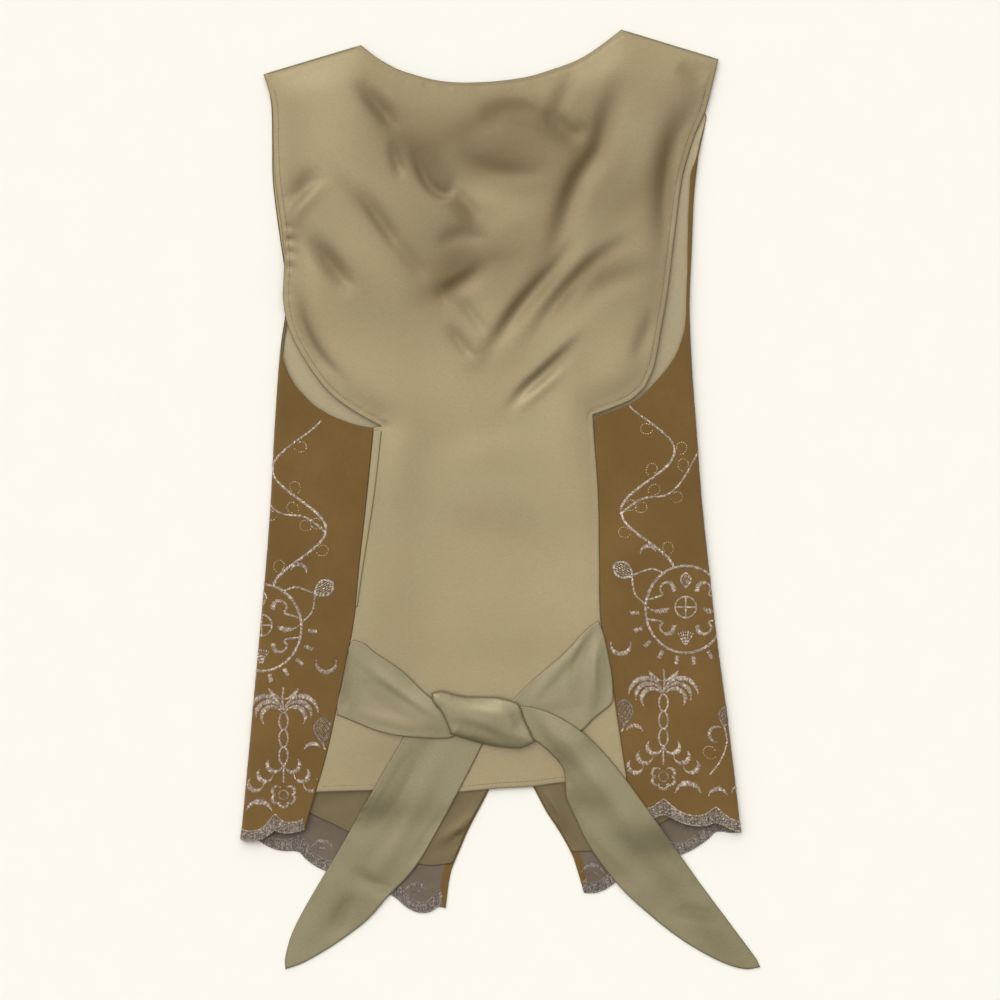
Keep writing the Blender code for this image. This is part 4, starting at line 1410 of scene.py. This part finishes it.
@dataclass
class Sheet:
    """A cloth that lies on the pieces under it: its outline and heights are its solid's."""

    node: str
    word: str
    finish: bpy.types.Material
    rests_on: tuple[str, ...]
    creases: tuple[Crease, ...] = ()
    # painted sheen tints, pink where the folds lie in shade and grey-green where light falls
    painted_sheen_tints: tuple[PaintedPatch, ...] = ()
    # painted shade above 0, painted light below 0
    shades: tuple[PaintedPatch, ...] = ()
    step: float = 2.4
    roll: float = 1.0
    evenness: int = 14
    crown: float = 0.0
    crown_reach: float = 12.0
    thin: float = 0.0
    borders: tuple[float, ...] = (0.35, 0.9, 1.8, 3.2)
    swell: Callable[[Flat], np.ndarray] | None = None
    # painted shade along the cloth's edges
    rim_shade: float = 0.35
    rim_reach: float = 1.2

    def flat_and_faces(self) -> tuple[Flat, np.ndarray, np.ndarray]:
        """Return the cloth laid flat with the heights of its upper and lower faces."""
        solid = Solid(self.node)
        ring = refine_ring(solid.top_ring(), 1.6)
        flat = Flat.cut(ring, self.step, self.borders)
        top = flat.smooth(solid.heights(flat.points), self.evenness)
        bottom = flat.smooth(solid.heights(flat.points, False), self.evenness) + self.thin
        lift = self.crown * np.sqrt(np.clip(flat.edge / self.crown_reach, 0, 1))
        if self.swell is not None:
            lift = lift + flat.smooth(self.swell(flat), 24) * smoothstep(-2.0, 7.0, flat.edge)
        fold = CREASE_RELIEF * raise_by(self.creases, flat.points)
        fold *= smoothstep(-1.0, 5.0, flat.edge)
        lift = np.maximum(lift + fold, -0.4)
        middle, half = (top + bottom) / 2, (top - bottom) / 2
        half = half * rolled(flat.edge, self.roll)
        return flat, middle + half + lift, middle - half + np.maximum(lift, 0) * 0.95

    def make(self) -> tuple[bpy.types.Object, Flat, np.ndarray]:
        """Return the cloth, how it was cut, and the heights of its upper face."""
        flat, top, bottom = self.flat_and_faces()
        outer = np.column_stack((flat.points, top)) * MM
        inner = np.column_stack((flat.points, bottom)) * MM
        piece = make_wall(self.word, flat, outer, inner, (self.finish,))
        # Painted sheen tint, and painted shade and light from the patches, the creases and the edges.
        tint, depth = np.zeros(len(flat.points)), np.zeros(len(flat.points))
        for painted_sheen_tint in self.painted_sheen_tints:
            tint += painted_sheen_tint.at(flat.points)
        for shade in self.shades:
            depth += shade.at(flat.points)
        for crease in self.creases:
            depth += crease.shadow(flat.points)
        # Painted shade along the cloth's edges.
        depth += self.rim_shade * np.exp(-flat.edge / self.rim_reach)
        for name, values in (("painted_sheen_tint", tint), ("shade", depth)):
            write_layer(piece, name, np.tile(np.clip(values, -1, 1), 2))
        return piece, flat, top

    def build(self, held: str = "laid") -> None:
        """Build the cloth and join it to the frame."""
        piece, flat, _ = self.make()
        declare(piece, self.node, flat, self.rests_on)


@dataclass
class Back:
    """The satin back, with the tuck beside its left side seam."""

    finishes: Finishes
    creases: tuple[Crease, ...] = (
        # from the neck and shoulders down
        Crease(((-128, 380), (-111, 356), (-88, 330)), -3.0, 7.5, 0.2),
        Crease(((-98, 326), (-94, 308), (-87, 286)), -2.0, 4.5),
        Crease(((-130, 284), (-112, 258), (-94, 232), (-82, 216)), -2.6, 6.0, 0.2),
        Crease(((-172, 236), (-156, 218), (-142, 200), (-130, 184)), -3.2, 8.0),
        Crease(((-190, 262), (-176, 280), (-160, 300)), -2.2, 8.0),
        Crease(((-196, 228), (-180, 262), (-156, 286)), 1.6, 6.0),
        Crease(((112, 386), (98, 350), (88, 314), (70, 286), (56, 248), (44, 208)), -3.6, 9.5, 0.2),
        Crease(((68, 388), (58, 366), (44, 336)), -1.4, 7.0),
        Crease(((36, 352), (52, 338), (66, 330), (86, 340)), -2.2, 8.0),
        Crease(((178, 358), (160, 332), (152, 305), (148, 262), (146, 214)), -3.0, 8.0, -0.2),
        Crease(((158, 391), (172, 384), (186, 378)), -1.8, 8.0),
        # between the shoulder blades
        Crease(((-78, 322), (-72, 300), (-62, 282), (-48, 276), (-38, 296)), -2.6, 5.0, 0.2),
        Crease(((-44, 284), (-34, 272), (-16, 250)), -1.6, 6.0),
        Crease(((-20, 338), (8, 350), (40, 346)), -1.6, 9.0),
        Crease(((-30, 330), (-26, 306), (-6, 296), (24, 294), (50, 300)), -1.8, 8.0),
        Crease(((-92, 232), (-84, 222), (-64, 196)), -1.5, 6.0),
        Crease(((-8, 214), (-30, 198), (-62, 178)), -2.8, 8.0, 0.2),
        Crease(((-60, 226), (-36, 238), (-8, 232)), -1.6, 7.0),
        # the folds that meet in a point, and those beside them
        Crease(((-48, 160), (-34, 140), (-19, 124)), -2.4, 5.5),
        Crease(((-19, 123), (1, 150), (20, 176), (54, 214), (74, 240)), -3.6, 7.0, -0.2),
        Crease(((26, 138), (36, 158), (60, 190), (92, 220), (122, 238)), -3.2, 7.0, -0.2),
        Crease(((4, 80), (23, 101), (42, 118), (76, 150)), -3.0, 4.8, -0.3),
        Crease(((12, 78), (34, 98), (60, 120)), 1.4, 4.5),
        Crease(((-42, 190), (-30, 174), (-8, 144)), -1.6, 4.6),
        Crease(((138, 176), (132, 154), (118, 120)), -1.4, 6.0),
        Crease(((146, 210), (100, 196), (70, 178)), -1.6, 10.0),
        # beside the armholes
        Crease(((-183, 190), (-176, 156), (-160, 128), (-134, 102)), -2.2, 4.6),
        Crease(((-196, 235), (-188, 234), (-180, 233)), -1.2, 3.0),
        Crease(((-196, 224), (-188, 223), (-180, 222)), -1.2, 3.0),
        Crease(((-196, 212), (-188, 210), (-181, 209)), -1.0, 3.0),
        Crease(((-197, 246), (-189, 246), (-182, 247)), -1.0, 3.2),
        Crease(((-60, 30), (0, 44), (50, 30)), 1.0, 16.0),
        Crease(((40, -60), (0, -30), (-60, -20)), -0.9, 18.0),
    )
    # painted sheen tints: pink on the shaded folds, grey-green where light falls
    painted_sheen_tints: tuple[PaintedPatch, ...] = (
        PaintedPatch((-57, 331), (26, 13), 8, 1.1),
        PaintedPatch((-70, 300), (12, 26), 0, 0.7),
        PaintedPatch((-22, 208), (38, 14), 10, 1.0),
        PaintedPatch((-48, 184), (26, 12), 30, 1.0),
        PaintedPatch((14, 196), (12, 44), -32, 0.6),
        PaintedPatch((-160, 176), (15, 34), 20, 0.8),
        PaintedPatch((4, 306), (30, 12), 0, 0.7),
        PaintedPatch((-60, 60), (40, 30), 0, 0.25),
        PaintedPatch((62, -30), (30, 50), 0, 0.3),
        PaintedPatch((-50, -90), (40, 26), 0, 0.3),
        PaintedPatch((-160, 330), (36, 50), 0, -0.7),
        PaintedPatch((128, 350), (36, 36), 0, -0.7),
        PaintedPatch((100, 276), (26, 40), -20, -0.6),
        PaintedPatch((6, 330), (44, 12), 0, -0.8),
        PaintedPatch((-120, 262), (34, 40), 0, -0.3),
        PaintedPatch((-20, 0), (60, 26), 20, -0.2),
    )
    shades: tuple[PaintedPatch, ...] = (
        # painted shade: the whole upper back darker, most of all between the shoulders
        PaintedPatch((0, 316), (240, 140), 0, 0.70),
        PaintedPatch((0, 170), (150, 80), 0, 0.14),
        PaintedPatch((-105, 345), (44, 13), -52, 0.30),
        PaintedPatch((-72, 318), (26, 15), -10, 0.14),
        PaintedPatch((-58, 296), (12, 24), 30, 0.32),
        PaintedPatch((-36, 262), (26, 9), -48, 0.34),
        PaintedPatch((-30, 336), (30, 9), 28, 0.20),
        PaintedPatch((-112, 196), (46, 40), 20, 0.16),
        PaintedPatch((8, 350), (34, 12), -8, 0.34),
        PaintedPatch((50, 334), (34, 9), -30, 0.34),
        PaintedPatch((-4, 308), (26, 14), 4, 0.20),
        PaintedPatch((20, 322), (50, 16), 0, 0.14),
        PaintedPatch((-44, 220), (17, 34), -14, 0.30),
        PaintedPatch((-60, 190), (26, 12), 30, 0.24),
        PaintedPatch((-14, 218), (36, 8), 8, 0.20),
        PaintedPatch((86, 330), (12, 50), -24, 0.26),
        PaintedPatch((54, 262), (11, 50), -18, 0.22),
        PaintedPatch((112, 268), (34, 14), 46, 0.20),
        PaintedPatch((146, 318), (11, 46), -16, 0.22),
        PaintedPatch((-128, 270), (40, 8), -52, 0.26),
        PaintedPatch((-156, 222), (36, 10), -48, 0.34),
        PaintedPatch((-182, 292), (11, 60), 0, 0.22),
        PaintedPatch((-174, 160), (10, 44), 18, 0.26),
        PaintedPatch((12, 176), (62, 7), 58, 0.24),
        PaintedPatch((76, 196), (58, 9), 44, 0.26),
        PaintedPatch((36, 112), (44, 6), 42, 0.22),
        PaintedPatch((-20, 126), (14, 9), 40, 0.26),
        PaintedPatch((146, 150), (9, 34), -8, 0.18),
        # painted light between them
        PaintedPatch((-20, 274), (40, 12), -6, -0.42),
        PaintedPatch((-2, 250), (38, 12), 24, -0.26),
        PaintedPatch((78, 294), (11, 46), -24, -0.30),
        PaintedPatch((120, 336), (26, 30), 0, -0.26),
        PaintedPatch((-150, 330), (30, 40), 0, -0.24),
        PaintedPatch((-20, 160), (16, 26), -20, -0.18),
        PaintedPatch((60, 222), (40, 8), 50, -0.22),
        PaintedPatch((56, 150), (50, 8), 42, -0.20),
        PaintedPatch((-100, 200), (18, 50), 30, -0.12),
        PaintedPatch((96, 128), (36, 18), 30, -0.12),
        # painted shade at the waist and the skirt
        PaintedPatch((80, 30), (10, 90), 4, 0.16),
        PaintedPatch((-112, 20), (10, 70), 0, 0.14),
        PaintedPatch((0, -132), (80, 16), 0, 0.10),
        PaintedPatch((60, -206), (14, 40), 0, 0.24),
        PaintedPatch((-96, -222), (40, 12), 10, 0.12),
    )
    rim_inset: float = 5.0

    @staticmethod
    def swell(flat: Flat) -> np.ndarray:
        """Return how far the back stands off the fronts, so that its troughs have room."""
        y = flat.points[:, 1]
        x = flat.points[:, 0]
        upper = smoothstep(-70.0, 90.0, y)
        inside_edge = smoothstep(2.0, 26.0, flat.edge)
        wave = (0.5 * np.sin(x / 19.0 + y / 43.0) + 0.4 * np.sin(x / 37.0 - y / 23.0 + 1.0)
                + 0.3 * np.sin(y / 13.0 + x / 61.0 + 2.0))
        return upper * inside_edge * (3.4 + wave) + (1 - upper) * 0.12 * wave

    def sew_seams(self, flat: Flat, top: np.ndarray) -> bpy.types.Object:
        """Sew the stitches that hold the hem and the armholes, a little inside their edges."""
        threads = Threads(3)
        ring = flat.ring
        heading = np.roll(ring, -3, axis=0) - np.roll(ring, 3, axis=0)
        heading /= np.linalg.norm(heading, axis=1)[:, None]
        inward = np.column_stack((-heading[:, 1], heading[:, 0])) * math.copysign(
            1, ring_area(ring))
        x, y = ring[:, 0], ring[:, 1]
        hem = (y < -240) & (inward[:, 1] > 0.9)
        for side in Side:
            armhole = (y > 84) & (y < 372) & (x * side.value > 60)
            self.sew_run(threads, ring, inward, armhole)
        self.sew_run(threads, ring, inward, hem)
        heights = self.height_reader(flat, top)

        def place(points: np.ndarray, level: np.ndarray) -> np.ndarray:
            """Place flat points at heights above the satin."""
            return np.column_stack((points, heights(points) + level)) * MM
        return threads.make("seam_stitches", place, (self.finishes.seam_thread,), False)

    def sew_run(self, threads: Threads, ring: np.ndarray, inward: np.ndarray,
                held: np.ndarray) -> None:
        """Sew one running line of stitches beside the held part of an outline."""
        start = int(np.argmax(~held & np.roll(held, -1)))
        order = (start + 1 + np.arange(int(held.sum()))) % len(ring)
        line = ring[order] + inward[order] * self.rim_inset
        threads.dashes(resample(line[2:-2], 1.5), 2.3, 0.8, 0.55, 0.25)

    def build_shoulder_rolls(self, flat: Flat, top: np.ndarray) -> bpy.types.Object:
        """Build rolled seams along both shoulders, as one piece, in a darker satin that paints the
        shade where the cloth rounds away over the shoulder edge.
        """
        radius, sides = 1.5, 8
        ring = flat.ring
        points, faces = [], []
        for side in Side:
            shoulder = ring[(ring[:, 0] * side.value > 90) & (ring[:, 1] > 370)]
            ends = (shoulder[np.argmax(shoulder[:, 0] * side.value)],
                    shoulder[np.argmax(shoulder[:, 1])])
            line = resample(np.array(ends) + (0.0, -0.9), 3.0)
            height = self.height_reader(flat, top)(line) - 1.2
            ahead = (line[-1] - line[0]) / np.linalg.norm(line[-1] - line[0])
            across = np.array((-ahead[1], ahead[0]))
            size = radius * np.minimum(1, np.linspace(0, 12, len(line)) + 0.4)
            size = np.minimum(size, size[::-1])
            first = len(points)
            for centre, z, thick in zip(line, height, size):
                for turn in np.linspace(0, math.tau, sides, endpoint=False):
                    spot = centre + across * thick * math.cos(turn) * 0.8
                    points.append((spot[0] * MM, spot[1] * MM, (z + thick * math.sin(turn)) * MM))
            for row in range(len(line) - 1):
                for lane in range(sides):
                    after = (lane + 1) % sides
                    low, high = first + row * sides, first + (row + 1) * sides
                    faces.append((low + lane, low + after, high + after, high + lane))
            faces.append(tuple(first + lane for lane in reversed(range(sides))))
            faces.append(tuple(first + (len(line) - 1) * sides + lane for lane in range(sides)))
        return make_mesh("shoulder_rolls", np.array(points), faces, (self.finishes.painted_shade_satin,))

    @staticmethod
    def height_reader(flat: Flat, top: np.ndarray) -> Callable[[np.ndarray], np.ndarray]:
        """Return a function that reads the satin's height anywhere on it."""
        tree = BVHTree.FromPolygons([Vector((*p, z)) for p, z in zip(flat.points, top)],
                                    flat.faces.tolist())

        def read(points: np.ndarray) -> np.ndarray:
            """Read the height at each point."""
            found = []
            for x, y in points:
                hit = tree.ray_cast(Vector((x, y, 60)), Vector((0, 0, -1)))
                found.append(hit[0].z if hit[0] is not None
                             else tree.find_nearest(Vector((x, y, 5)))[0].z)
            return np.array(found)
        return read

    def build(self) -> None:
        """Build the back and its tuck."""
        back, flat, top = Sheet("back", "satin_back", self.finishes.satin, (), self.creases,
                                self.painted_sheen_tints, self.shades, step=2.9, roll=1.0, evenness=60, thin=0.35,
                                borders=(0.35, 1.0, 2.0, 3.4, 4.4, 5.2, 6.4),
                                swell=self.swell).make()
        tuck = Sheet("seam_tuck", "side_tuck", self.finishes.satin, (), step=2.2, roll=1.0,
                     borders=(0.5, 1.2)).make()[0]
        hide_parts("seam_tuck")
        declare(back, "back", flat, ("lining_left", "lining_right"),
                (tuck, self.sew_seams(flat, top), self.build_shoulder_rolls(flat, top)))


@dataclass
class Ties:
    """The two waist ties in their half knot."""

    finishes: Finishes

    def build(self) -> None:
        """Build the stretches of the ties, from the lowest up."""
        satin = self.finishes.tie
        # The two tables after each tie's creases paint its sheen tints, and its shade and light.
        Sheet("tie_left_tail", "left_tie_tail", satin, ("back", "lining_left", "front_left"),
              (Crease(((-46, -206), (-70, -262), (-104, -322), (-150, -380)), 1.5, 10),
               Crease(((-70, -214), (-96, -262), (-124, -304)), -1.3, 7),
               Crease(((-92, -352), (-112, -346), (-134, -330)), -1.5, 6),
               Crease(((-150, -392), (-138, -366), (-128, -352)), -1.3, 6),
               Crease(((-38, -268), (-62, -300), (-84, -332)), -1.0, 5)),
              (PaintedPatch((-60, -250), (20, 40), 30, -0.7),),
              (PaintedPatch((-66, -216), (40, 6), 62, 0.22), PaintedPatch((-104, -300), (46, 9), 56, 0.26),
               PaintedPatch((-66, -292), (34, 8), 40, -0.34), PaintedPatch((-150, -372), (40, 10), 50, 0.30),
               PaintedPatch((-110, -344), (26, 8), 30, -0.2))).build()
        Sheet("tie_right_root", "right_tie_root", satin, ("back",),
              (Crease(((88, -112), (72, -140), (67, -166), (72, -196)), -2.0, 4.2, 0.3),
               Crease(((90, -114), (84, -150), (86, -190)), 1.6, 4.0),
               Crease(((84, -112), (52, -150), (24, -184)), 1.2, 5.0),
               Crease(((94, -122), (98, -150), (96, -180)), -1.2, 3.0)),
              (PaintedPatch((50, -160), (30, 12), 40, -0.5),),
              (PaintedPatch((86, -170), (30, 5), 80, 0.3), PaintedPatch((58, -158), (36, 6), 40, -0.3),
               PaintedPatch((40, -186), (30, 6), 10, 0.26))).build()
        Sheet("tie_left_root", "left_tie_root", satin, ("back", "tie_left_tail"),
              (Crease(((-140, -138), (-136, -164), (-142, -190)), -1.4, 3.6),
               Crease(((-126, -142), (-96, -164), (-62, -188), (-44, -200)), 1.6, 5.0, 0.2),
               Crease(((-128, -160), (-104, -176), (-66, -200)), -1.7, 6.0),
               Crease(((-130, -186), (-100, -196), (-62, -206)), 1.0, 5.0)),
              (PaintedPatch((-90, -186), (30, 12), -20, 0.5),),
              (PaintedPatch((-120, -150), (26, 6), -36, 0.24), PaintedPatch((-86, -170), (40, 7), -30, -0.34),
               PaintedPatch((-66, -202), (34, 6), -14, 0.30), PaintedPatch((-134, -178), (7, 24), 0, 0.24))).build()
        Sheet("tie_right_tail", "right_tie_tail", satin,
              ("back", "tie_right_root", "front_right"),
              (Crease(((30, -194), (58, -214), (84, -246), (110, -286)), 1.5, 7.0),
               Crease(((46, -222), (66, -250), (76, -284)), -1.6, 4.4, 0.2),
               Crease(((66, -292), (90, -322), (122, -352)), -1.2, 6.0),
               Crease(((110, -270), (140, -316), (176, -366)), -1.0, 8.0),
               Crease(((150, -372), (176, -372), (200, -382)), -1.0, 6.0)),
              (PaintedPatch((110, -300), (30, 14), -50, -0.6),),
              (PaintedPatch((44, -214), (40, 6), -58, 0.34), PaintedPatch((96, -262), (60, 9), -52, -0.38),
               PaintedPatch((78, -300), (40, 7), -54, 0.16), PaintedPatch((140, -330), (60, 8), -50, 0.22),
               PaintedPatch((196, -394), (34, 16), -50, 0.30))).build()
        Sheet("tie_knot_band", "knot_band", satin, ("tie_left_root", "tie_right_tail"),
              (Crease(((-46, -178), (-14, -186), (16, -200)), 1.0, 6.0),
               Crease(((-50, -196), (-20, -204), (14, -216)), -1.4, 5.0),
               Crease(((8, -180), (14, -196), (24, -210)), -1.2, 4.0)),
              (PaintedPatch((-14, -198), (24, 8), -10, -0.6),),
              (PaintedPatch((-14, -192), (30, 6), -14, -0.26), PaintedPatch((-16, -214), (34, 4), -12, 0.4),
               PaintedPatch((16, -196), (5, 16), -30, 0.2)),
              roll=2.0, crown=2.6, crown_reach=12.0).build(held="folded")


@dataclass
class Studio:
    """A pale floor, soft light and a camera straight above."""

    view_width: float = 0.9
    lens: float = 85.0
    centre_y: float = 0.0009
    floor_drop: float = 0.0004
    cream: Colour = (0.925, 0.90, 0.83)
    light_from: tuple[float, float, float] = (-0.25, 0.5, 1.0)
    sun_strength: float = 0.4
    room_dark: float = 0.25
    room_bright: float = 2.0

    def build_floor(self) -> None:
        """Lay the floor."""
        bpy.ops.mesh.primitive_plane_add(size=12.0, location=(0, 0, -self.floor_drop))
        floor = bpy.context.object
        floor.name = "floor"
        graph = Graph("floor_paper")
        speck = graph.noise(graph.stretched((1, 1, 1)), 30.0, 2.0)
        tint = tuple(value * 0.995 for value in self.cream)
        colour = graph.ramp(speck, ((0.3, tint), (0.7, self.cream)))
        floor.data.materials.append(graph.finish(colour, 0.95, None, Specular_IOR_Level=0.1))

    def build_lights(self) -> None:
        """Light the room evenly, with a broad soft light beyond the neck and a faint sun."""
        bpy.ops.object.light_add(type="SUN", location=(-0.4, 1.0, 1.2))
        sun = bpy.context.object
        sun.name = "window_light"
        sun.data.energy = self.sun_strength
        sun.data.angle = math.radians(24)
        sun.rotation_euler = (-Vector(self.light_from)).to_track_quat("-Z", "Y").to_euler()
        world = bpy.data.worlds.new("room")
        world.use_nodes = True
        nodes, links = world.node_tree.nodes, world.node_tree.links
        place = nodes.new("ShaderNodeTexCoord")
        facing = nodes.new("ShaderNodeVectorMath")
        facing.operation = "DOT_PRODUCT"
        facing.inputs[1].default_value = Vector(self.light_from).normalized()
        links.new(place.outputs["Generated"], facing.inputs[0])
        ramp = nodes.new("ShaderNodeMapRange")
        ramp.interpolation_type = "SMOOTHSTEP"
        ramp.inputs["From Min"].default_value = 0.45
        ramp.inputs["To Min"].default_value = self.room_dark
        ramp.inputs["To Max"].default_value = self.room_bright
        links.new(facing.outputs["Value"], ramp.inputs["Value"])
        background = nodes["Background"]
        background.inputs["Color"].default_value = (1.0, 0.992, 0.975, 1)
        links.new(ramp.outputs["Result"], background.inputs["Strength"])
        bpy.context.scene.world = world
        bpy.context.scene.view_settings.view_transform = "Standard"

    def build_camera(self) -> None:
        """Set the camera straight above, far enough off to take in the whole width."""
        data = bpy.data.cameras.new("camera")
        data.lens = self.lens
        data.sensor_width = 36.0
        camera = bpy.data.objects.new("camera", data)
        bpy.context.scene.collection.objects.link(camera)
        camera.location = (0, self.centre_y, self.view_width * self.lens / 36.0)
        bpy.context.scene.camera = camera

    def build(self) -> None:
        """Set up the whole studio."""
        self.build_floor()
        self.build_lights()
        self.build_camera()


def main() -> None:
    """Build the studio and the garment."""
    logging.basicConfig(level=logging.INFO, format="%(message)s")
    bpy.ops.object.select_all(action="DESELECT")
    Studio().build()
    finishes = Finishes()
    for side in Side:
        Front(side, finishes).build()
    Back(finishes).build()
    Ties(finishes).build()


if __name__ == "__main__":
    main()
